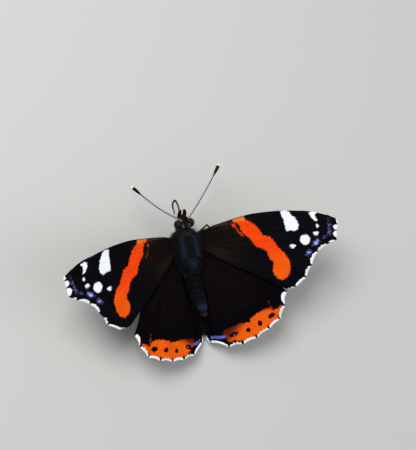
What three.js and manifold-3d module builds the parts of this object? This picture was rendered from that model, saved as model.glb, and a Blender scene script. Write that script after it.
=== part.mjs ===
// A red admiral butterfly, Vanessa atalanta, at life size in millimetres.
// It stands on its four walking legs with the wings spread, basking, and the tongue reaching down.
// +X is the butterfly's right side, +Y the way it faces and +Z up, and its feet lie on Z = 0.
// The origin is under the middle of the whole insect.
import * as THREE from "three";
import { mergeVertices } from "three/addons/utils/BufferGeometryUtils.js";
import Module from "manifold-3d";

const wasm = await Module();
wasm.setup();

// Driving sizes and the pose
const GAP = 0.3; // left between two pieces that meet
const HINGE_HEIGHT = 6.6; // of the wing hinges above the floor
const BODY_PITCH = 5; // degrees, head up
const HINGE_X = 2.2; // from the middle of the body to a wing's hinge
const MEMBRANE = 0.5; // thickness of a wing between its veins
const VEIN_RIDGE = 0.11; // how far a vein stands above the membrane, on each face
const VEIN_HALF_WIDTH = 0.34;
const DIHEDRAL = { fore: 21.5, hind: 20 }; // degrees that the wings are raised
// Degrees that each wing is swung forward: the two sides differ a little.
const SWEEP = { fore: { left: -0.8, right: 0.8 }, hind: { left: -3, right: 1.5 } };
const HINDWING_DROP = 1.05; // how far the hindwing lies under the forewing
const ABDOMEN_BEND = 0.85; // how far the tail end leans to the right
const HEAD_X = 0.55; // the head is turned a little to the right
const MERGE = 0.2; // points of a wing nearer than this become one
const FOOT_RADIUS = 0.27;

const rad = THREE.MathUtils.degToRad;
const vec = (x, y, z) => new THREE.Vector3(x, y, z);
const lerp = THREE.MathUtils.lerp;
const sideName = (side) => (side < 0 ? "left" : "right");

// The body's own frame has its origin between the forewing hinges.
const bodyPlace = new THREE.Matrix4()
  .makeTranslation(0, 0, HINGE_HEIGHT)
  .multiply(new THREE.Matrix4().makeRotationX(rad(BODY_PITCH)));
const onBody = (x, y, z) => vec(x, y, z).applyMatrix4(bodyPlace);

// Solids

// A closed geometry from points and triangles.
function closedGeometry(points, faces) {
  const flat = points.flatMap((p) => [p.x, p.y, p.z]);
  const geometry = new THREE.BufferGeometry();
  geometry.setAttribute("position", new THREE.Float32BufferAttribute(flat, 3));
  geometry.setIndex(faces);
  return geometry;
}

// A geometry as a manifold-3d solid.
function solidOf(geometry) {
  const bare = geometry.clone();
  bare.deleteAttribute("normal");
  bare.deleteAttribute("uv");
  const merged = mergeVertices(bare, 1e-4);
  return new wasm.Manifold(
    new wasm.Mesh({
      numProp: 3,
      vertProperties: new Float32Array(merged.attributes.position.array),
      triVerts: new Uint32Array(merged.index.array),
    }),
  );
}

// The largest closed body of a solid, as a geometry.
function geometryOf(solid) {
  const largest = solid
    .decompose()
    .reduce((a, b) => (a.volume() > b.volume() ? a : b));
  const mesh = largest.getMesh();
  const geometry = new THREE.BufferGeometry();
  const positions = new THREE.Float32BufferAttribute(mesh.vertProperties, 3);
  geometry.setAttribute("position", positions);
  geometry.setIndex([...mesh.triVerts]);
  geometry.computeVertexNormals();
  return geometry;
}

// A closed skin over rings of points, each ring run through in the same turn, with both ends capped.
function skinOver(rings) {
  const sides = rings[0].length;
  const points = rings.flat();
  const middle = (ring) =>
    ring.reduce((sum, p) => sum.add(p), vec(0, 0, 0)).divideScalar(sides);
  const first = points.push(middle(rings[0])) - 1;
  const last = points.push(middle(rings.at(-1))) - 1;
  const faces = [];
  const top = (rings.length - 1) * sides;
  for (let k = 0; k < sides; k++) {
    const next = (k + 1) % sides;
    faces.push(first, next, k);
    faces.push(last, top + k, top + next);
    for (let r = 0; r < top; r += sides) {
      faces.push(r + k, r + next, r + sides + next);
      faces.push(r + k, r + sides + next, r + sides + k);
    }
  }
  return closedGeometry(points, faces);
}

// A tapered limb along a smooth curve through joints, each [point, radius].
function limb(joints, { sides = 8, steps = 4, floor = -Infinity } = {}) {
  const curve = new THREE.CatmullRomCurve3(joints.map(([p]) => p));
  curve.curveType = "centripetal";
  const count = (joints.length - 1) * steps;
  const frames = curveFrames(curve, count);
  const rings = frames.map(({ point, normal, binormal }, i) => {
    const at = Math.min(i / steps, joints.length - 1.0001);
    const joint = Math.floor(at);
    const radius = lerp(joints[joint][1], joints[joint + 1][1], at - joint);
    return Array.from({ length: sides }, (_, k) => {
      const turn = ((k + 0.5) / sides) * 2 * Math.PI;
      const p = point.clone();
      p.addScaledVector(normal, radius * Math.cos(turn));
      p.addScaledVector(binormal, radius * Math.sin(turn));
      p.z = Math.max(p.z, floor);
      return p;
    });
  });
  return skinOver(rings);
}

// Points along a curve with two cross directions that don't twist.
function curveFrames(curve, count) {
  let normal = null;
  return Array.from({ length: count + 1 }, (_, i) => {
    const point = curve.getPoint(i / count);
    const tangent = curve.getTangent(i / count);
    if (!normal) normal = Math.abs(tangent.z) > 0.9 ? vec(1, 0, 0) : vec(0, 0, 1);
    normal = normal.clone().addScaledVector(tangent, -normal.dot(tangent));
    normal.normalize();
    return { point, normal, binormal: tangent.clone().cross(normal) };
  });
}

// The side of a plane beside the head that faces away from the head's middle.
function besideHead(side, at) {
  const size = 40;
  const box = new THREE.BoxGeometry(size, size, size);
  return solidOf(box.translate(HEAD_X + side * (at + size / 2), 0, 0));
}

// Body: rings round a row of stations, [y, half width, top, underside]
const BODY_SIDES = 22;

function bodyOver(stations, grow, bendAt = () => 0) {
  const rings = stations.map(([y, half, top, under], i) => {
    const atEnd = i === 0 ? grow : i === stations.length - 1 ? -grow : 0;
    const middle = (top + under) / 2;
    const tall = (top - under) / 2 + grow;
    return Array.from({ length: BODY_SIDES }, (_, k) => {
      const turn = (k / BODY_SIDES) * 2 * Math.PI;
      const x = bendAt(y) - (half + grow) * Math.sin(turn);
      return onBody(x, y + atEnd, middle + tall * Math.cos(turn));
    });
  });
  return solidOf(skinOver(rings));
}

// The thorax, from the neck to the waist, with the shield-shaped scutellum raised at its back.
const NECK_Y = 2.1;
const WAIST_Y = -6.7;
const THORAX_STATIONS = [
  [NECK_Y, 1.15, 0.9, -1.3],
  [1.55, 1.85, 1.45, -2.1],
  [0.6, 2.35, 1.85, -2.8],
  [-0.8, 2.62, 2.1, -3.2],
  [-2.6, 2.68, 2.2, -3.3],
  [-3.8, 2.58, 2.12, -3.15],
  [-4.25, 2.48, 1.84, -3.05],
  [-4.9, 2.3, 2.0, -2.8],
  [-5.6, 1.98, 1.78, -2.45],
  [-6.25, 1.62, 1.35, -2.0],
  [WAIST_Y, 1.2, 0.9, -1.5],
];

// The abdomen, built ring by ring: each segment swells and ends in a lip over the next.
const ABDOMEN_START = WAIST_Y - GAP;
const ABDOMEN_LENGTH = 10.1;
const ABDOMEN_SEGMENTS = 8;
const ABDOMEN_HALF_WIDTH = 1.78;
const ABDOMEN_HALF_HEIGHT = 1.72;

const abdomenBend = (y) =>
  ABDOMEN_BEND * Math.max(0, (ABDOMEN_START - y) / ABDOMEN_LENGTH) ** 2;

// How full the abdomen is at a share of its length: fullest at a third, blunt at the tail.
const abdomenFullness = (t) =>
  Math.min(1, 0.68 + 1.6 * t) * Math.sqrt(1 - Math.max(0, (t - 0.3) / 0.72) ** 2.4);

function abdomenStations() {
  const stations = [];
  const within = [
    [0.0, 0.95],
    [0.35, 1.0],
    [0.9, 1.03],
  ];
  for (let segment = 0; segment < ABDOMEN_SEGMENTS; segment++)
    for (const [share, swell] of within) {
      const t = (segment + share) / ABDOMEN_SEGMENTS;
      const full = abdomenFullness(t) * swell;
      const middle = -0.15 + 0.25 * t;
      const tall = ABDOMEN_HALF_HEIGHT * full;
      stations.push([
        ABDOMEN_START - t * ABDOMEN_LENGTH,
        ABDOMEN_HALF_WIDTH * full,
        middle + tall,
        middle - tall,
      ]);
    }
  const end = ABDOMEN_START - ABDOMEN_LENGTH;
  stations.push([end, 0.4, 0.5, -0.3]);
  return stations;
}

// The head: a rounded capsule with a short neck, and a flat-backed socket for each eye.
const HEAD = vec(HEAD_X, 3.6, -0.15);
const HEAD_RADII = vec(1.5, 1.45, 1.45);
const EYE = vec(1.42, 3.6, 0); // x from the middle of the head
const EYE_RADII = vec(1.0, 1.1, 1.12);
const EYE_BACK = 1.15;
const NECK_LENGTH = 1.2;

function ellipsoid(centre, radii, grow, across, down) {
  const ball = new THREE.SphereGeometry(1, across, down);
  ball.rotateX(Math.PI / 2);
  ball.scale(radii.x + grow, radii.y + grow, radii.z + grow);
  ball.translate(centre.x, centre.y, centre.z);
  return solidOf(ball.applyMatrix4(bodyPlace));
}

// A point of the head, its first number outwards from the head's middle.
const onHead = (side, x, y, z) => onBody(HEAD_X + side * x, y, z);
const eyeCentre = (side) => vec(HEAD_X + side * EYE.x, EYE.y, EYE.z);

function headSolid(grow) {
  const neck = new THREE.CylinderGeometry(0.95 + grow, 1.15 + grow, NECK_LENGTH, 16);
  neck.translate(HEAD_X / 2, NECK_Y + GAP + NECK_LENGTH / 2, -0.2);
  const skull = ellipsoid(HEAD, HEAD_RADII, grow, 24, 16);
  return skull.add(solidOf(neck.applyMatrix4(bodyPlace)));
}

// Wings

// Each line of a wing runs from its root over a fork to its end on the edge, in the wing's own plane:
// the first number is out from the hinge, the second forward. bow bends the line between fork and end,
// and sag hollows the edge between this line's end and the next one's. The first and last lines are
// the wing's own front and back edges, and the rest are its veins. Left and right differ a little in
// where the lines end.
const forewing = (corner) => ({
  rootFront: 0.9,
  rootBack: -1.7,
  lines: [
    { name: "front edge", fork: [5.0, 1.85], end: [11.6, 2.5], bow: 0.05, sag: -0.05 },
    { name: "Sc", fork: [6.0, 1.45], end: [15.2, 2.4], bow: 0.05, sag: -0.04 },
    { name: "R1", fork: [8.0, 0.95], end: [19.0, 1.95], bow: 0, sag: -0.05 },
    { name: "R2", fork: [12.0, 0.4], end: [23.2, 1.05], bow: 0.2, sag: -0.47 },
    { name: "R3", fork: [13.5, -0.1], end: corner.r3, bow: 0.6, sag: -0.4 },
    { name: "R4", fork: [14.3, -0.55], end: corner.r4, bow: 0.75, sag: 0.05 },
    { name: "R5", fork: [14.6, -1.1], end: corner.r5, bow: 0.8, sag: 0.08 },
    { name: "M1", fork: [14.9, -1.8], end: corner.m1, bow: 0.85, sag: 0.15 },
    { name: "M2", fork: [15.0, -2.8], end: corner.m2, bow: 0.5, sag: 0.2 },
    { name: "M3", fork: [14.2, -3.6], end: corner.m3, bow: 0.35, sag: 0.35 },
    { name: "CuA1", fork: [11.8, -3.5], end: corner.cuA1, bow: 0.3, sag: 0.3 },
    { name: "CuA2", fork: [8.6, -2.9], end: corner.cuA2, bow: 0.3, sag: 0.12 },
    { name: "1A+2A", fork: [5.5, -3.5], end: corner.a1, bow: -0.2, sag: -0.12 },
    { name: "back edge", fork: [5.6, -6.5], end: [17.2, -15.25], bow: 0.1, sag: 0 },
  ],
});
const FOREWINGS = {
  left: forewing({
    r3: [30.35, -1.55],
    r4: [31.4, -2.75],
    r5: [31.45, -4.3],
    m1: [31.25, -6.35],
    m2: [29.3, -7.35],
    m3: [26.7, -8.65],
    cuA1: [24.6, -11.2],
    cuA2: [23.2, -13.9],
    a1: [20.3, -15.35],
  }),
  right: forewing({
    r3: [30.8, -2.15],
    r4: [31.5, -3.8],
    r5: [31.15, -5.1],
    m1: [30.65, -7.2],
    m2: [28.6, -7.65],
    m3: [26.1, -8.8],
    cuA1: [24.1, -11.5],
    cuA2: [22.3, -13.8],
    a1: [19.7, -15.35],
  }),
};

const HIND_ROOT_FRONT = -2.0;

// The two hindwings, too, differ in their outer corners, drawn out from under the forewings.
const hindwing = (corner) => ({
  rootFront: HIND_ROOT_FRONT,
  rootBack: -5.4,
  lines: [
    { name: "front edge", fork: [5.4, -3.2], end: corner.front, bow: 0.9, sag: -0.05 },
    { name: "Sc+R1", fork: [5.2, -4.8], end: corner.scR1, bow: 0.8, sag: 0.42 },
    { name: "Rs", fork: [6.0, -7.4], end: corner.rs, bow: 0.6, sag: 0.3 },
    { name: "M1", fork: [6.1, -8.8], end: corner.m1, bow: 0.5, sag: 0.3 },
    { name: "M2", fork: [5.5, -10.2], end: corner.m2, bow: 0.4, sag: 0.35 },
    { name: "M3", fork: [4.7, -11.2], end: corner.m3, bow: 0.3, sag: 0.35 },
    { name: "CuA1", fork: [3.8, -11.2], end: [5.2, -25.45], bow: 0.2, sag: 0.45 },
    { name: "CuA2", fork: [2.5, -10.2], end: [2.0, -25.35], bow: 0.1, sag: 0.4 },
    { name: "1A+2A", fork: [0.5, -9.6], end: [-1.9, -23.4], bow: 0.1, sag: -0.15 },
    { name: "back edge", fork: [-2.6, -7.6], end: [-2.6, -21.0], bow: -0.3, sag: 0 },
  ],
});
const HINDWINGS = {
  left: hindwing({
    front: [15.0, -15.1],
    scR1: [16.4, -17.1],
    rs: [15.9, -19.7],
    m1: [14.35, -22.5],
    m2: [11.55, -23.95],
    m3: [8.5, -25.05],
  }),
  right: hindwing({
    front: [15.9, -14.3],
    scR1: [17.3, -16.3],
    rs: [16.25, -19.2],
    m1: [14.5, -21.9],
    m2: [11.7, -23.4],
    m3: [8.5, -24.75],
  }),
};

const RINGS = [0, 0.06, 0.13, 0.22, 0.33, 0.45, 0.57, 0.68, 0.78, 0.87, 0.94, 1];
const SAG_STARTS = 0.8; // share of the way out where the hollows of the edge begin to show

// The flat curve that a line of the wing follows.
function lineCurve(wing, index) {
  const { fork, end, bow } = wing.lines[index];
  const share = index / (wing.lines.length - 1);
  const root = new THREE.Vector2(0, lerp(wing.rootFront, wing.rootBack, share));
  const from = new THREE.Vector2(...fork);
  const to = new THREE.Vector2(...end);
  const along = to.clone().sub(from).normalize();
  const middle = from.clone().lerp(to, 0.5);
  middle.add(new THREE.Vector2(-along.y, along.x).multiplyScalar(bow));
  return new THREE.SplineCurve([root, from, middle, to]);
}

// One ring of points across the wing at a share of the way out, from its front edge to its back edge.
function ringAcross(wing, curves, share) {
  const at = curves.map((curve) => curve.getPointAt(share));
  const start = Math.max(0, (share - SAG_STARTS) / (1 - SAG_STARTS));
  const ring = [];
  const ridge = VEIN_RIDGE * (1 - 0.35 * share);
  at.forEach((point, i) => {
    const isVein = i > 0 && i < at.length - 1;
    const foot = (other) => {
      const reach = Math.min(0.3, VEIN_HALF_WIDTH / point.distanceTo(other));
      return { flat: point.clone().lerp(other, reach), ridge: 0 };
    };
    if (isVein) ring.push(foot(at[i - 1]));
    ring.push({ flat: point, ridge: isVein ? ridge : ridge * 0.6 });
    if (isVein) ring.push(foot(at[i + 1]));
    if (i === at.length - 1) return;
    const across = at[i + 1].clone().sub(point).normalize();
    const inward = new THREE.Vector2(across.y, -across.x);
    const between = point.clone().lerp(at[i + 1], 0.5);
    between.addScaledVector(inward, wing.lines[i].sag * start ** 2);
    ring.push({ flat: between, ridge: 0 });
  });
  return ring;
}

// Points of a ring that lie closer than MERGE become one, which keeps the higher ridge.
function thinOut(ring) {
  const last = ring.length - 1;
  let kept = ring[0];
  return ring.map((point, i) => {
    const close = point.flat.distanceTo(kept.flat) < MERGE;
    const crowdsEnd = i < last && point.flat.distanceTo(ring[last].flat) < MERGE;
    if (i > 0 && (close || crowdsEnd) && i < last) {
      kept.ridge = Math.max(kept.ridge, point.ridge);
      return kept;
    }
    kept = point;
    return point;
  });
}

// Twice the signed area of a flat triangle.
const turnOf = (a, b, c) => (b.x - a.x) * (c.y - a.y) - (b.y - a.y) * (c.x - a.x);

// Triangles over a grid of rings, the same for both faces of the wing. Each four-sided cell is cut
// along the diagonal that leaves the fuller smaller triangle.
function trianglesOver(rings) {
  const found = [];
  for (let r = 0; r + 1 < rings.length; r++)
    for (let c = 0; c + 1 < rings[r].length; c++) {
      const a = rings[r][c];
      const b = rings[r][c + 1];
      const d = rings[r + 1][c];
      const e = rings[r + 1][c + 1];
      const cuts = [
        [
          [a, b, e],
          [a, e, d],
        ],
        [
          [a, b, d],
          [b, e, d],
        ],
      ].map((pair) => pair.filter((t) => new Set(t).size === 3));
      const least = (pair) =>
        Math.min(...pair.map(([p, q, s]) => turnOf(p.flat, q.flat, s.flat)));
      const [one, two] = cuts;
      if (one.length < two.length) found.push(...one);
      else if (two.length < one.length) found.push(...two);
      else found.push(...(least(one) >= least(two) ? one : two));
    }
  return found;
}

// A wing as one closed sheet, its two faces split alike, bent by heightAt and raised along its veins.
function wingSheet(wing, heightAt) {
  const curves = wing.lines.map((_, i) => lineCurve(wing, i));
  const rings = RINGS.map((share) => thinOut(ringAcross(wing, curves, share)));
  const grid = [...new Set(rings.flat())];
  const number = new Map(grid.map((point, i) => [point, i]));
  const points = [1, -1].flatMap((face) =>
    grid.map(({ flat, ridge }) => {
      const reach = face * (MEMBRANE / 2 + ridge);
      const middle = vec(flat.x, flat.y, heightAt(flat.x, flat.y));
      return middle.addScaledVector(sheetNormal(flat, heightAt), reach);
    }),
  );
  const faces = [];
  const below = grid.length;
  for (const triangle of trianglesOver(rings)) {
    const [a, b, c] = triangle.map((p) => number.get(p));
    faces.push(a, b, c, below + a, below + c, below + b);
  }
  const rim = [
    ...rings[0],
    ...rings.map((ring) => ring.at(-1)),
    ...[...rings.at(-1)].reverse(),
    ...rings.map((ring) => ring[0]).reverse(),
  ].map((p) => number.get(p));
  rim.forEach((a, i) => {
    const b = rim[(i + 1) % rim.length];
    if (a !== b) faces.push(a, below + b, b, a, below + a, below + b);
  });
  return closedGeometry(points, faces);
}

function sheetNormal(flat, heightAt) {
  const step = 0.05;
  const { x, y } = flat;
  const slopeX = (heightAt(x + step, y) - heightAt(x - step, y)) / (2 * step);
  const slopeY = (heightAt(x, y + step) - heightAt(x, y - step)) / (2 * step);
  return vec(-slopeX, -slopeY, 1).normalize();
}

// The forewing is a little arched from front to back, and its tip droops.
function forewingHeight(x, y) {
  const chord = (y + 6) / 8;
  return 0.5 * (1 - chord ** 2) * Math.min(1, x / 10) - 0.9 * (x / 31) ** 3;
}

// The hindwing arches too, and its inner part dips to pass under the abdomen.
const TROUGH_DEPTH = 1.75;
const TROUGH_EDGE = -0.85; // from the hinge
const TROUGH_SLOPE = 0.3;

function hindwingHeight(x, y) {
  const arch = 0.45 * Math.sin((Math.PI * Math.min(Math.max(x, 0), 16)) / 16);
  const past = THREE.MathUtils.smoothstep(-y, 16.5, 21.5);
  const depth = TROUGH_DEPTH * (1 - 0.4 * past);
  const dip = depth / (1 + Math.exp((x - TROUGH_EDGE) / TROUGH_SLOPE));
  return arch - dip - HINDWING_DROP;
}

// A wing set on the body: swept, raised and, on the left, mirrored.
function wingOnBody(geometry, side, pair, pivotY) {
  const sweep = SWEEP[pair][sideName(side)];
  const place = new THREE.Matrix4()
    .multiply(new THREE.Matrix4().makeTranslation(HINGE_X, 0, 0))
    .multiply(new THREE.Matrix4().makeRotationY(-rad(DIHEDRAL[pair])))
    .multiply(new THREE.Matrix4().makeTranslation(0, pivotY, 0))
    .multiply(new THREE.Matrix4().makeRotationZ(rad(sweep)))
    .multiply(new THREE.Matrix4().makeTranslation(0, -pivotY, 0));
  const raised = solidOf(geometry.clone().applyMatrix4(place));
  const onSide = side < 0 ? raised.mirror([1, 0, 0]) : raised;
  return onSide.transform(bodyPlace.elements);
}

// Limbs

// Mirrors a point of the right side to the given side.
const mirrored = (side, p) => vec(side * p.x, p.y, p.z);

// A walking leg: coxa and femur out of the thorax, knee, tibia down to the floor, tarsus along it.
// The right middle knee shows before the wing, and the left one is tucked under it.
const FOOT_Z = FOOT_RADIUS * Math.cos(Math.PI / 8);
const ANKLE_Z = FOOT_Z + 0.35;
const MID_HIP = [1.1, -1.0, -2.5];
const HIND_LEG = {
  hip: [1.0, -4.0, -2.75],
  knee: vec(5.3, -7.0, 4.45),
  ankle: vec(8.0, -11.0, ANKLE_Z),
  toe: vec(9.6, -14.8, FOOT_Z),
};
const WALKING_LEGS = {
  left: {
    midleg: {
      hip: MID_HIP,
      knee: vec(5.7, 0.8, 4.9),
      ankle: vec(8.8, 0.9, ANKLE_Z),
      toe: vec(12.6, 1.5, FOOT_Z),
    },
    hindleg: HIND_LEG,
  },
  right: {
    midleg: {
      hip: MID_HIP,
      knee: vec(6.3, 2.5, 5.2),
      ankle: vec(9.0, 1.5, ANKLE_Z),
      toe: vec(12.8, 1.3, FOOT_Z),
    },
    hindleg: HIND_LEG,
  },
};

function walkingLeg({ hip, knee, ankle, toe }, side) {
  const root = onBody(...hip);
  const sole = ankle.clone().lerp(toe, 0.18).setZ(FOOT_Z);
  const joints = [
    [root, 0.62],
    [root.clone().lerp(knee, 0.3), 0.5],
    [root.clone().lerp(knee, 0.75), 0.4],
    [knee, 0.33],
    [knee.clone().lerp(ankle, 0.3), 0.34],
    [knee.clone().lerp(ankle, 0.8), 0.29],
    [ankle, 0.27],
    [sole, FOOT_RADIUS],
    [sole.clone().lerp(toe, 0.5), FOOT_RADIUS],
    [toe, FOOT_RADIUS * 0.9],
  ].map(([p, r]) => [mirrored(side, p), r]);
  return solidOf(limb(joints, { steps: 2, floor: 0 }));
}

// The small brush-footed foreleg, folded forward under the head.
function foreleg(side) {
  const joints = [
    [onHead(side, 0.7, 0.9, -1.7), 0.42],
    [onHead(side, 0.95, 1.8, -2.7), 0.4],
    [onHead(side, 0.95, 2.8, -2.8), 0.42],
    [onHead(side, 0.9, 3.6, -2.65), 0.34],
    [onHead(side, 0.85, 4.3, -2.45), 0.2],
  ];
  return solidOf(limb(joints, { steps: 3 }));
}

// A labial palp: rises in front of the face and ends in a short point.
function palp(side) {
  const joints = [
    [onHead(side, 0.45, 4.1, -1.0), 0.34],
    [onHead(side, 0.56, 5.05, -0.85), 0.4],
    [onHead(side, 0.6, 5.65, -0.3), 0.38],
    [onHead(side, 0.56, 6.15, 0.15), 0.24],
    [onHead(side, 0.48, 6.45, 0.4), 0.1],
  ];
  return solidOf(limb(joints, { steps: 2 }));
}

// An antenna: a thin shaft that bows outward and swells into a long oval club near its tip.
const ANTENNA_TIP = { left: vec(10.65, 13.95, 2.7), right: vec(10.6, 15.1, 2.7) };
const ANTENNA_ROOT = vec(0.5, 4.15, 0.85); // x from the middle of the head
const ANTENNA_RADIUS = 0.25;
const ANTENNA_BOW = { left: vec(0.15, -0.85, 0.4), right: vec(0.15, -0.15, 0.4) };
const SCAPE = [
  [-0.03, 0.33],
  [0.03, 0.33],
];
const SHAFT = [0.1, 0.25, 0.4, 0.55, 0.7, 0.79].map((t) => [t, ANTENNA_RADIUS]);
const CLUB = [
  [0.84, 0.26],
  [0.88, 0.36],
  [0.93, 0.44],
  [0.97, 0.42],
  [1.0, 0.24],
];

function antenna(side) {
  const tip = mirrored(side, ANTENNA_TIP[sideName(side)]);
  const root = mirrored(side, ANTENNA_ROOT).add(vec(HEAD_X, 0, 0));
  const bow = mirrored(side, ANTENNA_BOW[sideName(side)]);
  const joints = [...SCAPE, ...SHAFT, ...CLUB].map(([t, radius]) => {
    const p = root.clone().lerp(tip, t);
    p.addScaledVector(bow, Math.sin(Math.PI * t));
    return [onBody(p.x, p.y, p.z), radius];
  });
  return solidOf(limb(joints, { steps: 2 }));
}

// The tongue: forward from between the palps, over its knee and down to just above the floor.
const TONGUE_CLEARANCE = 0.5;
const TONGUE_KNEE_Y = 9.05;

function proboscis() {
  const joints = [
    [onBody(0.5, 3.8, -1.5), 0.3],
    [onBody(0.55, 5.2, -1.85), 0.28],
    [onBody(0.45, 6.6, -1.2), 0.26],
    [onBody(0.05, 8.1, -0.3), 0.26],
    [onBody(-0.5, TONGUE_KNEE_Y, 0.05), 0.26],
    [onBody(-0.75, TONGUE_KNEE_Y - 0.4, -0.75), 0.25],
    [vec(-0.5, 7.9, 5.0), 0.25],
    [vec(0.5, 7.0, 2.3), 0.24],
    [vec(0.85, 6.75, TONGUE_CLEARANCE), 0.2],
  ];
  return solidOf(limb(joints, { steps: 3 }));
}

// The pieces, cut clear of what they grow from
const thorax = bodyOver(THORAX_STATIONS, 0);
const thoraxClear = bodyOver(THORAX_STATIONS, GAP);
const abdomen = bodyOver(abdomenStations(), 0, abdomenBend);
const abdomenClear = bodyOver(abdomenStations(), GAP, abdomenBend);
const headClear = headSolid(GAP);

const eyes = [-1, 1].map((side) =>
  ellipsoid(eyeCentre(side), EYE_RADII, 0, 20, 14).intersect(besideHead(side, EYE_BACK)),
);
const sockets = [-1, 1].map((side) =>
  ellipsoid(eyeCentre(side), EYE_RADII, GAP, 20, 14).intersect(
    besideHead(side, EYE_BACK - GAP),
  ),
);
const cutFrom = (solid, cuts) => cuts.reduce((left, cut) => left.subtract(cut), solid);
const clearOfBody = (solid) => cutFrom(solid, [thoraxClear, abdomenClear]);
const clearOfHead = (solid) => cutFrom(solid, [headClear, ...sockets]);
const head = cutFrom(headSolid(0), [thoraxClear, ...sockets]);

// Materials
const plain = (color, roughness, metalness = 0) =>
  new THREE.MeshStandardMaterial({ color, roughness, metalness });
const MATERIALS = {
  body: plain(0x1c1a1d, 0.8),
  eye: plain(0x5a2c16, 0.25),
  wing: plain(0x17120f, 0.6),
  leg: plain(0x3a2a1f, 0.55),
  antenna: plain(0x141317, 0.5),
  tongue: plain(0x7a4a1c, 0.4),
};

// The butterfly
const butterfly = new THREE.Group();
const insect = new THREE.Group();
butterfly.add(insect);

function add(name, solid, material) {
  const mesh = new THREE.Mesh(geometryOf(solid), material);
  mesh.name = name;
  insect.add(mesh);
}

add("head", head, MATERIALS.body);
add("thorax", thorax, MATERIALS.body);
add("abdomen", abdomen, MATERIALS.body);
add("proboscis", clearOfHead(proboscis()), MATERIALS.tongue);
[-1, 1].forEach((side, i) => {
  const which = sideName(side);
  const forewingShape = wingSheet(FOREWINGS[which], forewingHeight);
  const hindwingShape = wingSheet(HINDWINGS[which], hindwingHeight);
  const raisedFore = wingOnBody(forewingShape, side, "fore", 0);
  const raisedHind = wingOnBody(hindwingShape, side, "hind", HIND_ROOT_FRONT);
  add(`eye_${which}`, eyes[i], MATERIALS.eye);
  add(`palp_${which}`, clearOfHead(palp(side)), MATERIALS.body);
  add(`antenna_${which}`, clearOfHead(antenna(side)), MATERIALS.antenna);
  add(`forewing_${which}`, clearOfBody(raisedFore), MATERIALS.wing);
  add(`hindwing_${which}`, clearOfBody(raisedHind), MATERIALS.wing);
  add(`foreleg_${which}`, clearOfBody(foreleg(side)), MATERIALS.leg);
  for (const [leg, joints] of Object.entries(WALKING_LEGS[which]))
    add(`${leg}_${which}`, clearOfBody(walkingLeg(joints, side)), MATERIALS.leg);
});

// The origin goes under the middle of the insect.
const bounds = new THREE.Box3().setFromObject(insect);
const middle = bounds.getCenter(vec(0, 0, 0));
insect.position.set(-middle.x, -middle.y, 0);

export default butterfly;
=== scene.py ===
"""The looks of a red admiral butterfly, basking on its feet with its wings spread.

Everything is shaped in the butterfly's own frame, in millimetres: the origin lies between the
hinges of the forewings, +X is its right side, +Y the way it faces and +Z its back. to_part takes
that frame to the part's own, in metres.
"""

import math

import bpy
import numpy as np
from mathutils import Matrix, Vector


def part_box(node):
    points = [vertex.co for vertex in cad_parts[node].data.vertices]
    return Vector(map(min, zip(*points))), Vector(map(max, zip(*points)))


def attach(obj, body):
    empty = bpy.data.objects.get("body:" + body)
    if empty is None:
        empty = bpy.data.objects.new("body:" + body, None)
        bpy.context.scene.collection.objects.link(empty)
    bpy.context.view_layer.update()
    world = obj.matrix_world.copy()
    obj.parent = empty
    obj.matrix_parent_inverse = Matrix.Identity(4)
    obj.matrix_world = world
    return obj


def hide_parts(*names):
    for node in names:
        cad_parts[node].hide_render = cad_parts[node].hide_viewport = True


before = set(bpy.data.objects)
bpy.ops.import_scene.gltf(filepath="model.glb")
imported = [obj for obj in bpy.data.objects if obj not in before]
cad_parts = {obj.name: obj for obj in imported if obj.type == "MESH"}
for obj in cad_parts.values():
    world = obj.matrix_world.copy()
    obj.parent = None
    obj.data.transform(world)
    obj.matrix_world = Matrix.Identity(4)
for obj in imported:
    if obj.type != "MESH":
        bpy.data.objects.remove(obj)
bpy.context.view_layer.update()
random = np.random.default_rng(17)

# Driving sizes in millimetres, and the pose in degrees
HINGE_HEIGHT, HINGE_X = 6.6, 2.2
PITCH = math.radians(5.0)
DIHEDRAL = {"fore": 21.5, "hind": 20.0}
SWEEP = {"fore": {"left": -0.8, "right": 0.8}, "hind": {"left": -3.0, "right": 1.5}}
HINDWING_DROP = 1.05
WING_HALF = 0.055
SIDES = {"left": -1, "right": 1}

# The head, as in the solids: it is turned a little to the right
HEAD_X = 0.55
HEAD = np.array([HEAD_X, 3.6, -0.15])
EYE = np.array([1.42, 3.6, 0.0])
EYE_RADII = np.array([1.0, 1.1, 1.12])


def body_origin():
    """The point between the hinges, found from where the eyes are."""
    left, right = (np.array(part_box(node)) * 1000 for node in ("eye_left", "eye_right"))
    eye_y = EYE[1] * math.cos(PITCH) - EYE[2] * math.sin(PITCH)
    x, y = (left[0][0] + right[1][0]) / 2, (left[0][1] + left[1][1]) / 2
    return np.array([x - HEAD_X, y - eye_y, HINGE_HEIGHT])


ORIGIN = body_origin()
TILT = np.array(Matrix.Rotation(PITCH, 3, "X"))


def to_part(points):
    """Points of the butterfly's own frame, in the part's frame and in metres."""
    return (np.asarray(points, float) @ TILT.T + ORIGIN) * 0.001


def to_body(points):
    """Points of the part's frame, still in millimetres, in the butterfly's own frame."""
    return (np.asarray(points, float) - ORIGIN) @ TILT


def on_head(sign, points):
    """Points of one side of the head, whose first number counts outwards from the head's middle."""
    return np.asarray(points, float) * [sign, 1, 1] + [HEAD_X, 0, 0]


def unit(vectors):
    return vectors / np.maximum(np.linalg.norm(vectors, axis=-1, keepdims=True), 1e-9)


def helper(ways):
    """For each direction, an axis that is well aside from it."""
    return np.where(np.abs(ways[..., 2:]) < 0.9, [0, 0, 1.0], [1.0, 0, 0])


def smooth_step(values, low, high):
    t = np.clip((values - low) / (high - low), 0, 1)
    return t * t * (3 - 2 * t)


def bell(values, middle, half):
    return np.exp(-(((values - middle) / half) ** 2))


def circle(sides):
    return np.arange(sides) / sides * 2 * math.pi


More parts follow.
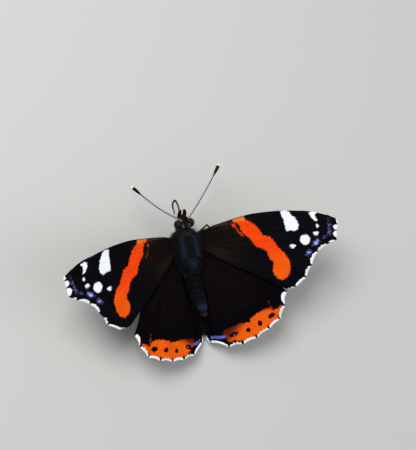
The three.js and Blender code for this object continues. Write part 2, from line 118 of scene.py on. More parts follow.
# Camera
PHOTO_LEAN, PHOTO_ROLL = math.radians(19.0), math.radians(11.8)
PHOTO_SIZE, PIXELS_PER_MM = (416, 450), 4.52
HINGES_IN_PHOTO = (185.2, 240.1)
CAMERA_DISTANCE = 350.0


def look_from_photo():
    """The photograph's view: nearly along the back's normal, leaning to the butterfly's left."""
    wide, high = PHOTO_SIZE
    focal = PIXELS_PER_MM * CAMERA_DISTANCE
    towards = np.array([-math.sin(PHOTO_LEAN), 0, math.cos(PHOTO_LEAN)])
    level = np.array([math.cos(PHOTO_LEAN), 0, math.sin(PHOTO_LEAN)])
    ahead = np.array([0, 1.0, 0])
    right = level * math.cos(PHOTO_ROLL) - ahead * math.sin(PHOTO_ROLL)
    up = level * math.sin(PHOTO_ROLL) + ahead * math.cos(PHOTO_ROLL)
    view = right * (wide / 2 - HINGES_IN_PHOTO[0]) + up * (HINGES_IN_PHOTO[1] - high / 2)
    view, up = unit((view - towards * focal) @ TILT.T), up @ TILT.T
    up = unit(up - view * (up @ view))
    data = bpy.data.cameras.new("camera")
    data.sensor_width = 36
    data.lens = focal / high * data.sensor_width
    data.clip_start, data.clip_end = 0.01, 10
    camera = bpy.data.objects.new("camera", data)
    camera.matrix_world = Matrix((np.cross(view, up), up, -view)).transposed().to_4x4()
    camera.location = Vector(to_part(towards * CAMERA_DISTANCE))
    bpy.context.scene.collection.objects.link(camera)
    bpy.context.scene.camera = camera


# Meshes


def new_mesh(name, points, faces, smooth=True):
    """An object from points in metres and an array of faces that all have as many corners."""
    faces = np.asarray(faces, np.int32)
    corners = faces.shape[1]
    mesh = bpy.data.meshes.new(name)
    mesh.vertices.add(len(points))
    mesh.vertices.foreach_set("co", np.asarray(points, np.float32).ravel())
    mesh.loops.add(faces.size)
    mesh.loops.foreach_set("vertex_index", faces.ravel())
    mesh.polygons.add(len(faces))
    mesh.polygons.foreach_set("loop_start", np.arange(0, faces.size, corners, dtype=np.int32))
    mesh.polygons.foreach_set("loop_total", np.full(len(faces), corners, np.int32))
    mesh.update(calc_edges=True)
    mesh.validate()
    mesh.polygons.foreach_set("use_smooth", np.full(len(mesh.polygons), smooth))
    piece = bpy.data.objects.new(name, mesh)
    bpy.context.scene.collection.objects.link(piece)
    return piece


def mark(piece, name, values):
    """Keeps a number, or three, at each point of a piece under a name that its material reads."""
    values = np.asarray(values, np.float32)
    kind, key = ("FLOAT", "value") if values.ndim == 1 else ("FLOAT_VECTOR", "vector")
    piece.data.attributes.new(name, kind, "POINT").data.foreach_set(key, values.ravel())


def finish_piece(piece, materials, replaced=()):
    for material in materials:
        piece.data.materials.append(material)
    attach(piece, "root")
    if replaced:
        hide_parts(*replaced)


def add_piece(name, points, faces, slot, material, node, **fields):
    """A piece in the place of one solid, from points of the body's frame."""
    piece = new_mesh(name, to_part(points), faces)
    for field, values in fields.items():
        mark(piece, field, values)
    finish_piece(piece, [material], [node])


def skin_over(rings):
    """A closed skin over rings of points, with a fan on each end: its points and triangles."""
    rings = np.asarray(rings, float)
    count, sides = rings.shape[:2]
    points = np.concatenate([rings.reshape(-1, 3), rings[:1].mean(1), rings[-1:].mean(1)])
    k = np.arange(sides)
    after = (k + 1) % sides
    rows = (np.arange(count - 1) * sides)[:, None]
    top, first = (count - 1) * sides, np.full(sides, count * sides)
    triangles = [
        (rows + k, rows + after, rows + sides + after),
        (rows + k, rows + sides + after, rows + sides + k),
        (first, after, k),
        (first + 1, top + k, top + after),
    ]
    return points, np.concatenate([np.stack(corners, -1).reshape(-1, 3) for corners in triangles])


def joined(*solids):
    """Several skins as one list of points and triangles."""
    starts = np.cumsum([0] + [len(solid[0]) for solid in solids])
    faces = [solid[1] + start for solid, start in zip(solids, starts)]
    return np.concatenate([solid[0] for solid in solids]), np.concatenate(faces)


def run_along(path):
    """How far along a path each of its points lies."""
    return np.concatenate([[0], np.cumsum(np.linalg.norm(np.diff(path, axis=0), axis=1))])


def points_at(distances, run, path):
    """Points of a path at some distances along it."""
    return np.stack([np.interp(distances, run, column) for column in path.T], -1)


def hermite(t, start, end, leaving, arriving):
    """A smooth curve from start to end with the given slopes there, at shares t of the way."""
    rest = 1 - t
    return start + (end - start) * t * t * (3 - 2 * t) + t * rest * (leaving * rest - arriving * t)


def smooth_path(joints, count):
    """Evenly spaced points along a smooth curve through the joints, with the way the curve runs,
    two directions across it and the distance run."""
    joints = np.asarray(joints, float)
    gaps = np.sqrt(np.linalg.norm(np.diff(joints, axis=0), axis=1))
    knots = np.concatenate([[0], np.cumsum(gaps)])
    dense = np.linspace(0, knots[-1], 40 * len(joints))
    slopes = np.gradient(joints, knots, axis=0)
    i = np.clip(np.searchsorted(knots, dense, side="right") - 1, 0, len(joints) - 2)
    span = (knots[i + 1] - knots[i])[:, None]
    t = (dense - knots[i])[:, None] / span
    path = hermite(t, joints[i], joints[i + 1], slopes[i] * span, slopes[i + 1] * span)
    run = run_along(path)
    even = np.linspace(0, run[-1], count)
    points = points_at(even, run, path)
    tangents = unit(np.gradient(points, axis=0))
    normals = [helper(tangents[0])]
    for tangent in tangents:
        normals.append(unit(normals[-1] - tangent * (normals[-1] @ tangent)))
    normals = np.array(normals[1:])
    return points, tangents, normals, np.cross(tangents, normals), even


def sweep(joints, radii, count, sides=16):
    """A limb along a smooth path: points, triangles and how far along each point lies. radii is a
    function of the share of the way, 0 to 1."""
    points, _, normals, across, run = smooth_path(joints, count)
    turn = circle(sides)[:, None]
    ring = normals[:, None] * np.cos(turn) + across[:, None] * np.sin(turn)
    skin, faces = skin_over(points[:, None] + ring * radii(run / run[-1])[:, None, None])
    return skin, faces, np.concatenate([np.repeat(run, sides), [0, run[-1]]])


def tapered(*stations):
    """A function that runs straight from one (share, radius) station to the next."""
    shares, radii = np.array(stations).T
    return lambda share: np.interp(share, shares, radii)


TUFT_PATCH = 0.003
TUFT_CORNERS = np.array([[0, 0], [1, 0], [0.5, 0.3], [0, 0.5], [1, 0.5], [0.5, 0.7], [0.5, 1]])


class Coat:
    """Gathers tapered tufts, each a closed three-sided blade, and turns them into one piece."""

    def __init__(self, thickness=0.6, smooth=True):
        self.parts, self.thickness, self.smooth = [], thickness, smooth

    def add(self, roots, ways, droops, lengths, widths, places, tints, kept=slice(None)):
        """roots and ways in the body's frame; droops bend the tips; places are the roots' UV."""
        count = len(roots)
        three, one = (count, 3), (count,)
        values = (roots, ways, droops, lengths, widths, np.clip(places, 0.01, 0.99), tints)
        shapes = (three, three, three, one, one, (count, 2), one)
        self.parts.append([np.broadcast_to(v, shape)[kept] for v, shape in zip(values, shapes)])

    def make(self, name, slot, material):
        roots, ways, droops, lengths, widths, places, tints = map(np.concatenate, zip(*self.parts))
        count = len(roots)
        ways = unit(ways)
        side = unit(np.cross(ways, helper(ways)))
        over = np.cross(side, ways) * self.thickness
        reach, widths = lengths[:, None], widths[:, None]
        middle = roots + ways * reach * 0.52 + droops * reach * 0.14
        points = np.empty((count, 7, 3))
        points[:, 6] = roots + ways * reach * 0.94 + droops * reach * 0.5
        blade = [[0, 2, 1]]
        for k, turn in enumerate(circle(3)):
            out = side * math.cos(turn) + over * math.sin(turn)
            points[:, k] = roots + out * widths * 0.5
            points[:, 3 + k] = middle + out * widths * 0.42
            after = (k + 1) % 3
            blade += [[k, after, 3 + after], [k, 3 + after, 3 + k], [3 + k, 3 + after, 6]]
        faces = (np.array(blade) + (np.arange(count) * 7)[:, None, None]).reshape(-1, 3)
        piece = new_mesh(name, to_part(points.reshape(-1, 3)), faces, self.smooth)
        mark(piece, "tint", np.repeat(tints, 7))
        mark(piece, "tip", np.tile([0, 0, 0, 0.5, 0.5, 0.5, 1.0], count))
        spots = (places[:, None] + TUFT_PATCH * (TUFT_CORNERS - 0.5)).reshape(-1, 2)
        loops = np.empty(len(piece.data.loops), np.int32)
        piece.data.loops.foreach_get("vertex_index", loops)
        layer = piece.data.uv_layers.new(name="OFBake")
        layer.data.foreach_set("uv", spots[loops].astype(np.float32).ravel())
        finish_piece(piece, [material])


# Materials


def srgb(red, green, blue):
    """A screen colour, 0 to 255 each, as the linear colour that shaders take."""
    parts = np.array([red, green, blue]) / 255
    linear = np.where(parts <= 0.04045, parts / 12.92, ((parts + 0.055) / 1.055) ** 2.4)
    return (*linear, 1.0)


class Value:
    """A number that a material's graph works out, which can be reckoned with like any other."""

    def __init__(self, graph, socket):
        self.graph, self.socket = graph, socket

    def __add__(self, other):
        return self.graph.math("ADD", self, other)

    def __sub__(self, other):
        return self.graph.math("SUBTRACT", self, other)

    def __rsub__(self, other):
        return self.graph.math("SUBTRACT", other, self)

    def __mul__(self, other):
        return self.graph.math("MULTIPLY", self, other)

    def __abs__(self):
        return self.graph.math("ABSOLUTE", self)

    __radd__, __rmul__ = __add__, __mul__


class Graph:
    """A material's nodes, written as expressions."""

    def __init__(self, name, roughness=0.6, specular=0.3, sheen=0.0):
        self.material = bpy.data.materials.new(name)
        self.material.use_nodes = True
        self.nodes = self.material.node_tree.nodes
        self.links = self.material.node_tree.links
        self.shader = self.nodes["Principled BSDF"]
        inputs = self.shader.inputs
        inputs["Roughness"].default_value = roughness
        inputs["Specular IOR Level"].default_value = specular
        inputs["Sheen Weight"].default_value = sheen
        inputs["Sheen Roughness"].default_value = 0.4

    def node(self, kind, output=0, settings=None, **inputs):
        """A node with some inputs, by their names or as _ and their numbers, and one of its outputs."""
        node = self.nodes.new(f"ShaderNode{kind}")
        for name, setting in (settings or {}).items():
            setattr(node, name, setting)
        for name, value in inputs.items():
            key = int(name[1:]) if name[0] == "_" else name.replace("_", " ")
            self.put(node.inputs[key], value)
        return Value(self, node.outputs[output])

    def put(self, socket, value):
        if isinstance(value, Value):
            self.links.new(value.socket, socket)
        else:
            socket.default_value = value

    def field(self, name):
        return self.node("Attribute", "Fac", {"attribute_name": name})

    def place(self, name):
        return self.node("Attribute", "Vector", {"attribute_name": name})

    def math(self, operation, first, second=0.0):
        return self.node("Math", 0, {"operation": operation}, _0=first, _1=second)

    def step(self, value, low, high):
        """0 below low and 1 above high, or the other way round, with a soft ramp between."""
        rises = low < high
        return self.node(
            "MapRange", 0, {"interpolation_type": "SMOOTHSTEP"}, Value=value, From_Min=min(low, high),
            From_Max=max(low, high), To_Min=0.0 if rises else 1.0, To_Max=1.0 if rises else 0.0,
        )

    def mix(self, share, one, two):
        return self.node("Mix", 2, {"data_type": "RGBA"}, _0=share, _6=one, _7=two)

    def stretched(self, vector, x, y, z=1.0):
        return self.node("VectorMath", 0, {"operation": "MULTIPLY"}, _0=vector, _1=(x, y, z))

    def split(self, vector):
        """The first two numbers of a vector."""
        across = self.node("SeparateXYZ", 0, _0=vector)
        return across, self.node("SeparateXYZ", 1, _0=vector)

    def noise(self, vector, scale, detail=2.0, roughness=0.5):
        return self.node(
            "TexNoise", 0, Vector=vector, Scale=scale, Detail=detail, Roughness=roughness
        )

    def cells(self, vector, scale):
        """Cells, for scales: one random value in each."""
        color = self.node("TexVoronoi", "Color", Vector=vector, Scale=scale)
        return self.node("SeparateColor", 0, _0=color)

    def from_cells(self, vector, scale):
        """The distance to the middle of the nearest cell, for facets."""
        return self.node("TexVoronoi", "Distance", Vector=vector, Scale=scale)

    def bump(self, height, distance, strength):
        self.put(self.shader.inputs["Normal"], self.node(
            "Bump", 0, Height=height, Distance=distance, Strength=strength
        ))

    def within(self, name, ragged, soft):
        """1 inside a mark and 0 outside it, with a ragged edge."""
        return self.step(self.field(name) + ragged, soft, -soft)

    def hem(self, gap):
        """The white arcs of the fringe, by the gap to the wing's edge."""
        hem = self.field("hem")
        return self.step(gap - hem, 0.04, -0.04) * self.step(hem, 0.01, 0.04)

    def done(self, color, roughness=None):
        self.put(self.shader.inputs["Base Color"], color)
        if roughness is not None:
            self.put(self.shader.inputs["Roughness"], roughness)
        return self.material


# Wing outlines: each line is (fork, end, bow, sag), from the front edge to the back edge, in the
# wing's own plane, out from the hinge and forward. bow bends the line between fork and end, and sag
# hollows the edge between this line's end and the next one's.
def forewing(r3, r4, r5, m1, m2, m3, cu_a1, cu_a2, a1):
    """A forewing's lines, given the ends of those in which the two sides differ."""
    return {
        "root": (0.9, -1.7),
        "lines": [
            ((5.0, 1.85), (11.6, 2.5), 0.05, -0.05),
            ((6.0, 1.45), (15.2, 2.4), 0.05, -0.04),
            ((8.0, 0.95), (19.0, 1.95), 0, -0.05),
            ((12.0, 0.4), (23.2, 1.05), 0.2, -0.47),
            ((13.5, -0.1), r3, 0.6, -0.4),
            ((14.3, -0.55), r4, 0.75, 0.05),
            ((14.6, -1.1), r5, 0.8, 0.08),
            ((14.9, -1.8), m1, 0.85, 0.15),
            ((15.0, -2.8), m2, 0.5, 0.2),
            ((14.2, -3.6), m3, 0.35, 0.35),
            ((11.8, -3.5), cu_a1, 0.3, 0.3),
            ((8.6, -2.9), cu_a2, 0.3, 0.12),
            ((5.5, -3.5), a1, -0.2, -0.12),
            ((5.6, -6.5), (17.2, -15.25), 0.1, 0),
        ],
        "stems": (0, 2, 9, 12),
        "fringe": (4.1, 12.95),
    }


HIND_ROOT = (-2.0, -5.4)


def hindwing(front, sc_r1, rs, m1, m2, m3):
    """A hindwing's lines, given the ends of those in which the two sides differ."""
    return {
        "root": HIND_ROOT,
        "lines": [
            ((5.4, -3.2), front, 0.9, -0.05),
            ((5.2, -4.8), sc_r1, 0.8, 0.42),
            ((6.0, -7.4), rs, 0.6, 0.3),
            ((6.1, -8.8), m1, 0.5, 0.3),
            ((5.5, -10.2), m2, 0.4, 0.35),
            ((4.7, -11.2), m3, 0.3, 0.35),
            ((3.8, -11.2), (5.2, -25.45), 0.2, 0.45),
            ((2.5, -10.2), (2.0, -25.35), 0.1, 0.4),
            ((0.5, -9.6), (-1.9, -23.4), 0.1, -0.15),
            ((-2.6, -7.6), (-2.6, -21.0), -0.3, 0),
        ],
        "stems": (0, 1, 2, 6, 8),
        "fringe": (0.7, 8.7),
    }


WINGS = {
    "fore": {
        "left": forewing(
            (30.35, -1.55), (31.4, -2.75), (31.45, -4.3), (31.25, -6.35), (29.3, -7.35), (26.7, -8.65),
            (24.6, -11.2), (23.2, -13.9), (20.3, -15.35),
        ),
        "right": forewing(
            (30.8, -2.15), (31.5, -3.8), (31.15, -5.1), (30.65, -7.2), (28.6, -7.65), (26.1, -8.8),
            (24.1, -11.5), (22.3, -13.8), (19.7, -15.35),
        ),
    },
    "hind": {
        "left": hindwing(
            (15.0, -15.1), (16.4, -17.1), (15.9, -19.7), (14.35, -22.5), (11.55, -23.95), (8.5, -25.05)
        ),
        "right": hindwing(
            (15.9, -14.3), (17.3, -16.3), (16.25, -19.2), (14.5, -21.9), (11.7, -23.4), (8.5, -24.75)
        ),
    },
}

# White arcs of the fringe: where each starts and stops, counted in lines from the front edge, and
# how deep the white reaches into the wing
HIND_ARCS = [
    (1.05, 1.92, 0.55), (2.07, 2.93, 0.26), (3.07, 3.93, 0.16), (4.07, 4.93, 0.18), (5.07, 5.93, 0.18),
    (6.07, 6.93, 0.18), (7.06, 7.95, 0.14), (8.02, 8.6, 0.08),
]
WHITE_ARCS = {
    "fore": {
        "left": [
            (4.3, 4.9, 0.6), (5.1, 5.9, 0.62), (6.1, 6.86, 0.75), (7.45, 7.75, 0.03),
            (8.04, 8.95, 0.3), (9.05, 9.88, 0.34), (10.45, 10.95, 0.2), (11.08, 12.5, 0.12),
        ],
        "right": [
            (4.45, 4.9, 0.32), (5.1, 5.9, 0.46), (6.1, 6.7, 0.46), (7.15, 7.8, 0.03),
            (8.06, 8.92, 0.26), (9.06, 9.94, 0.34), (10.08, 10.92, 0.3), (11.06, 11.95, 0.2),
            (12.15, 12.7, 0.08),
        ],
    },
    "hind": {"left": HIND_ARCS, "right": HIND_ARCS},
}
SAG_STARTS = 0.8
FRINGE_INSET = 0.2
TROUGH_DEPTH, TROUGH_EDGE, TROUGH_SLOPE = 1.75, -0.85, 0.3

# Wing markings, in the same plane
ORANGE_BAND = [
    (11.7, 2.7), (11.9, 1.4), (13.0, 0.8), (13.8, -0.2), (14.5, -1.4), (15.0, -2.9), (15.7, -3.0),
    (16.4, -3.4), (17.2, -4.7), (17.6, -6.0), (18.6, -7.2), (19.2, -8.7), (19.5, -9.8), (19.2, -11.5),
    (18.4, -12.9), (17.2, -13.3), (16.2, -12.8), (15.6, -11.9), (15.4, -10.7), (16.0, -9.5),
    (15.9, -8.7), (15.3, -8.0), (15.0, -6.2), (14.1, -5.4), (13.1, -4.9), (12.5, -3.8), (11.8, -2.4),
    (11.1, -1.8), (10.6, -0.9), (10.4, 0.3), (10.1, 1.1), (9.2, 1.6), (8.8, 2.6),
]
ORANGE_HOOK = {
    "left": [
        (8.7, 1.2), (9.3, 1.0), (9.2, 0.1), (9.4, -0.8), (10.1, -1.8), (9.9, -2.0), (9.1, -1.2),
        (8.7, -0.3),
    ],
    "right": [
        (8.7, 1.5), (9.4, 1.2), (9.7, 0.2), (10.2, -0.9), (10.9, -1.9), (10.8, -2.3), (10.2, -1.6),
        (9.6, -0.8), (9.2, 0.2), (8.6, 0.9),
    ],
}
WHITE_BAR = [
    (19.9, 1.7), (21.2, 1.5), (21.8, 0.9), (22.1, 0.3), (22.7, -0.3), (23.0, -1.3), (23.15, -2.1),
    (22.75, -3.0), (22.1, -3.35), (21.1, -2.85), (20.25, -2.9), (20.15, -1.5), (20.2, -0.4), (19.9, 0.7),
]
WHITE_HOOK = [
    (25.9, 0.1), (26.9, 0.05), (27.8, -0.2), (27.2, -0.75), (27.2, -1.4), (27.35, -2.2), (26.9, -2.1),
    (26.3, -1.2),
]
# Spots: middle, half widths and the turn in degrees
WHITE_SPOTS = [
    ((27.15, -3.3), (0.28, 0.36), 0),
    ((26.45, -4.85), (0.57, 0.47), 0),
    ((23.85, -5.65), (1.1, 1.15), 0),
    ((20.85, -6.45), (0.65, 0.42), 0),
]
BLUE_FLECKS = [
    ((30.0, -2.4), (0.25, 0.3), 0),
    ((29.75, -3.5), (0.36, 0.5), 0),
    ((29.5, -4.95), (0.42, 0.7), 0),
    ((28.3, -6.0), (0.35, 0.25), 20),
    ((26.1, -6.8), (0.95, 0.6), 30),
    ((24.0, -8.6), (0.75, 0.5), 40),
]
HIND_BAND = {
    "left": [
        (15.6, -19.0), (14.2, -20.0), (13.7, -20.3), (13.4, -19.7), (12.9, -19.4), (11.9, -19.3),
        (10.6, -19.5), (9.1, -20.1), (8.0, -20.8), (6.4, -21.0), (4.9, -21.0), (3.1, -21.3),
        (1.4, -21.6), (1.4, -22.8), (3.2, -23.7), (5.4, -24.7), (8.4, -24.7), (11.5, -23.5),
        (14.4, -22.1), (15.6, -20.2),
    ],
    "right": [
        (15.6, -18.7), (14.5, -19.4), (13.4, -19.7), (12.9, -19.0), (11.8, -18.8), (10.4, -19.3),
        (9.1, -19.7), (8.2, -20.2), (7.7, -20.9), (5.5, -20.8), (3.7, -21.1), (2.2, -21.4),
        (1.2, -21.8), (1.7, -23.2), (2.2, -24.3), (4.0, -24.1), (5.3, -24.8), (8.4, -24.5),
        (11.6, -23.1), (14.7, -21.6), (15.6, -20.0),
    ],
}
HIND_STREAK = [((13.2, -18.9), (0.85, 0.12), -72)]
HIND_SPOTS = {
    "left": [
        ((12.8, -21.05), (0.85, 0.58), -8),
        ((10.0, -22.0), (0.66, 0.5), -10),
        ((7.1, -22.9), (0.5, 0.5), 25),
        ((3.6, -23.0), (1.0, 0.56), 25),
    ],
    "right": [
        ((12.7, -20.7), (0.85, 0.48), 20),
        ((9.9, -21.7), (0.52, 0.6), 0),
        ((7.0, -22.6), (0.55, 0.5), 0),
        ((3.7, -22.8), (1.0, 0.52), 10),
    ],
}
SPOT_CENTRE = [((3.8, -22.9), (0.24, 0.13), 15)]
HIND_BLUE = [((-1.0, -22.5), (1.8, 0.36), -8), ((1.0, -22.8), (1.0, 0.36), -4)]
# Where the band darkens towards the body, from wholly dark to not at all
BAND_FADE = {"left": (1.3, 5.0), "right": (1.9, 6.3)}
MARK_SHIFT = {"left": np.array([0.5, 0.1]), "right": np.array([0, 0])}
BROWN_REACH = {"fore": (7.0, 15.0), "hind": (9.0, 21.0)}


def line_curve(wing, index, shares):
    """Points of one line of a wing at shares of its length, and the share where it forks."""
    fork, end, bow, _ = wing["lines"][index]
    front, back = wing["root"]
    root = np.array([0, front + (back - front) * index / (len(wing["lines"]) - 1)])
    fork, end = np.array(fork), np.array(end)
    along = unit(end - fork)
    middle = (fork + end) / 2 + np.array([-along[1], along[0]]) * bow
    knots = np.array([root, root, fork, middle, end, end])
    slopes = (knots[2:] - knots[:-2]) / 2
    t = np.linspace(0, 3, 301)
    i = np.minimum(t.astype(int), 2)
    path = hermite((t - i)[:, None], knots[i + 1], knots[i + 2], slopes[i], slopes[i + 1])
    run = run_along(path)
    first, final = wing["fringe"]
    length = run[-1] - (FRINGE_INSET if first <= index <= final else 0)
    return points_at(shares * length, run, path), run[100] / length


def wing_grid(wing, rings, between):
    """Flat points of a wing as rings by columns, with each column's line and its share of the way
    to the next line."""
    shares = np.linspace(0, 1, rings) ** 0.92
    lines = [line_curve(wing, i, shares)[0] for i in range(len(wing["lines"]))]
    even = np.linspace(0, 1, between + 1)[:-1]
    steps = even / 2 + (1 - np.cos(math.pi * even)) / 4
    start = np.clip((shares - SAG_STARTS) / (1 - SAG_STARTS), 0, 1) ** 2
    columns, places = [], []
    for i, (line, after) in enumerate(zip(lines, lines[1:])):
        across = unit(after - line)
        inward = np.stack([across[:, 1], -across[:, 0]], -1)
        for t in steps:
            hollow = wing["lines"][i][3] * start * 4 * t * (1 - t)
            columns.append(line + (after - line) * t + inward * hollow[:, None])
            places.append((i, t))
    columns.append(lines[-1])
    places.append((len(lines) - 1, 0.0))
    return np.stack(columns, 1), *np.array(places).T


def forewing_height(x, y):
    chord = (y + 6) / 8
    return 0.5 * (1 - chord**2) * np.minimum(1, x / 10) - 0.9 * (x / 31) ** 3


def hindwing_height(x, y):
    arch = 0.45 * np.sin(math.pi * np.clip(x, 0, 16) / 16)
    depth = TROUGH_DEPTH * (1 - 0.4 * smooth_step(-y, 16.5, 21.5))
    dip = depth / (1 + np.exp((x - TROUGH_EDGE) / TROUGH_SLOPE))
    return arch - dip - HINDWING_DROP


# Each wing's height over its plane, its rings and the columns between two lines
SHEETS = {"fore": (forewing_height, 150, 13), "hind": (hindwing_height, 130, 15)}


def polygon_distance(points, outline):
    """Distance of each point to an outline, below zero inside it."""
    outline = np.array(outline)
    best = np.full(len(points), 1e9)
    inside = np.zeros(len(points), bool)
    for a, b in zip(outline, np.roll(outline, -1, axis=0)):
        run = b - a
        t = np.clip(((points - a) @ run) / (run @ run), 0, 1)
        best = np.minimum(best, np.linalg.norm(points - a - t[:, None] * run, axis=1))
        crosses = (a[1] > points[:, 1]) != (b[1] > points[:, 1])
        slope = run[0] * (points[:, 1] - a[1]) / (run[1] + 1e-12) + a[0]
        inside ^= crosses & (points[:, 0] < slope)
    return np.where(inside, -best, best)


def spots_distance(points, spots):
    """Distance to the nearest of some ovals, below zero inside one."""
    best = np.full(len(points), 1e9)
    for middle, halves, turned in spots:
        turned = math.radians(turned)
        x, y = math.cos(turned), math.sin(turned)
        off = (points - middle) @ np.array([[x, -y], [y, x]])
        best = np.minimum(best, (np.linalg.norm(off / halves, axis=1) - 1) * min(halves))
    return best


def wing_marks(side, kind, flat):
    """The named fields of a wing's markings at its flat points."""
    if kind == "fore":
        lean = 0.2 * np.clip(flat[:, 1] + 3.5, 0, 5) - 1.05 * smooth_step(-flat[:, 1], 4, 9)
        lean_of_white = 0.2 * np.clip(flat[:, 1] + 5.5, -0.5, 5)
        inward = [side == "left", 0]
        leaned, marked = flat + np.outer(lean, inward), flat + np.outer(lean_of_white, inward)
        band = polygon_distance(leaned, ORANGE_BAND)
        white = np.minimum(polygon_distance(marked, WHITE_BAR), polygon_distance(marked, WHITE_HOOK))
        return {
            "band": np.minimum(band, polygon_distance(leaned, ORANGE_HOOK[side]) + 0.1),
            "white": np.minimum(white, spots_distance(marked, WHITE_SPOTS)),
            "blue": spots_distance(flat, BLUE_FLECKS),
        }
    flat = flat + MARK_SHIFT[side]
    band = np.minimum(polygon_distance(flat, HIND_BAND[side]), spots_distance(flat, HIND_STREAK))
    return {
        "band": band,
        "blue": spots_distance(flat, HIND_BLUE),
        "dots": spots_distance(flat, HIND_SPOTS[side]),
        "core": spots_distance(flat, SPOT_CENTRE),
        "fade": 1 - smooth_step(flat[:, 0] - 1.3 * (flat[:, 1] + 22.6), *BAND_FADE[side]),
    }


def hem_white(side, kind, position):
    """How deep the white of the fringe reaches in at a place along the edge, counted in lines."""
    white = np.zeros(len(position))
    for start, stop, depth in WHITE_ARCS[kind][side]:
        share = np.clip((position - start) / (stop - start), 0, 1)
        white = np.maximum(white, depth * np.sin(math.pi * share) ** 0.4)
    return white


def wing_place(side, kind):
    """Takes points of a wing's own plane to the body's frame: swept, raised and mirrored."""
    pivot = HIND_ROOT[0] if kind == "hind" else 0.0
    matrix = np.array(
        Matrix.Translation((HINGE_X, 0, 0))
        @ Matrix.Rotation(-math.radians(DIHEDRAL[kind]), 4, "Y")
        @ Matrix.Translation((0, pivot, 0))
        @ Matrix.Rotation(math.radians(SWEEP[kind][side]), 4, "Z")
        @ Matrix.Translation((0, -pivot, 0))
    )

    def place(points, directions=False):
        moved = points @ matrix[:3, :3].T
        if not directions:
            moved = moved + matrix[:3, 3]
        return moved * [SIDES[side], 1, 1]

    return place


def sheet_normals(flat, height):
    step = 0.05
    x, y = flat[..., 0], flat[..., 1]
    slope_x = (height(x + step, y) - height(x - step, y)) / (2 * step)
    slope_y = (height(x, y + step) - height(x, y - step)) / (2 * step)
    return unit(np.stack([-slope_x, -slope_y, np.ones_like(x)], -1))


def on_sheet(flat, height, lift):
    """Points a lift above the sheet of a wing, and the sheet's normals there."""
    normals = sheet_normals(flat, height)
    level = height(flat[..., 0], flat[..., 1])[..., None]
    return np.concatenate([flat, level], -1) + normals * np.asarray(lift)[..., None], normals


def gap_to(points, others):
    """Distance of each point to the nearest of the others."""
    return np.min(np.linalg.norm(points[:, None] - others[None], axis=2), axis=1)


def make_wing(side, kind, materials):
    """One wing: a thin closed sheet with raised veins, painted by the fields that it carries."""
    wing = WINGS[kind][side]
    height, rows, between = SHEETS[kind]
    flat, line_of, share_of = wing_grid(wing, rows, between)
    columns = flat.shape[1]
    out = np.linspace(0, 1, rows)[:, None]
    cell = np.full((rows, columns), 2.0)
    for i in range(len(wing["lines"]) - 1):
        here = np.flatnonzero(line_of == i)
        cell[:, here] = np.linalg.norm(flat[:, here[-1] + 1] - flat[:, here[0]], axis=1)[:, None]
    from_vein = np.minimum(share_of, 1 - share_of) * cell
    nearest = np.round(line_of + share_of).astype(int)
    forks = np.array([line_curve(wing, i, np.zeros(1))[1] for i in range(len(wing["lines"]))])
    forks[list(wing["stems"])] = 0
    forks = forks[nearest]
    beyond_fork = np.where(forks > 0, smooth_step(out, forks - 0.04, forks + 0.02), 1)
    vein = bell(from_vein, 0, 0.11 * (1 - 0.5 * out)) * beyond_fork
    pleat = np.sin(math.pi * share_of) * np.minimum(cell, 3) * 0.05
    pleat = pleat * np.where(line_of % 2 == 0, 1, -0.6) * np.minimum(out * 3, 1)
    middle, normals = on_sheet(flat, height, pleat)
    half = normals * (WING_HALF + vein * 0.05)[..., None]
    place = wing_place(side, kind)
    points = place(np.stack([middle + half, middle - half]).reshape(-1, 3))
    count = rows * columns
    index = np.arange(count).reshape(rows, columns)
    quads = np.stack([index[:-1, :-1], index[:-1, 1:], index[1:, 1:], index[1:, :-1]], -1)
    quads = quads.reshape(-1, 4)
    border = np.concatenate([index[0], index[1:, -1], index[-1, -2::-1], index[-2:0:-1, 0]])
    after = np.roll(border, -1)
    sides = np.stack([border, count + border, count + after, after], -1)
    faces = np.concatenate([quads, count + quads[:, ::-1], sides])
    if side == "left":
        faces = faces[:, ::-1]
    piece = new_mesh(f"{kind}wing_{side}_scales", to_part(points), faces)
    lower = np.zeros(len(faces), np.int32)
    lower[len(quads) : 2 * len(quads)] = 1
    piece.data.polygons.foreach_set("material_index", lower)
    plane, root_y = flat.reshape(-1, 2), wing["root"][0]
    reach = np.linalg.norm(plane - [0, root_y], axis=1)
    bearing = np.arctan2(plane[:, 1] - root_y, plane[:, 0] + 2.5)
    first, final = wing["fringe"]
    edge = flat[-1][(line_of >= first) & (line_of < final)]
    drawn = 0.4 if kind == "fore" else np.where(nearest == 3, 1.0, 0.25)
    fields = {
        "weave": np.column_stack([reach, bearing * 20, 0 * reach]),
        "plane": np.column_stack([plane, 0 * reach]),
        **wing_marks(side, kind, plane),
        "vein": vein.ravel(),
        "crossing": (vein * drawn).ravel(),
        "notch": bell(from_vein, 0, 0.2).ravel(),
        "from_edge": gap_to(plane, edge[::3]),
        "front": gap_to(plane, flat[::2, 0]),
        "hem": np.tile(hem_white(side, kind, line_of + share_of), rows),
        "brown": 1 - smooth_step(reach, *BROWN_REACH[kind]),
    }
    for name, values in fields.items():
        mark(piece, name, np.concatenate([values, values]))
    finish_piece(piece, materials, [f"{kind}wing_{side}"])
    return flat, line_of, share_of, height, place


# Colours of the wings' scales
BLACK = srgb(6, 4, 8)
BROWN = srgb(33, 23, 18)
ORANGE = srgb(250, 74, 10)
LIGHT_ORANGE = srgb(246, 102, 14)
DEEP_ORANGE = srgb(228, 56, 6)
PALE_ORANGE = srgb(232, 128, 48)
WHITE = srgb(248, 251, 255)
BLUE = srgb(122, 132, 240)


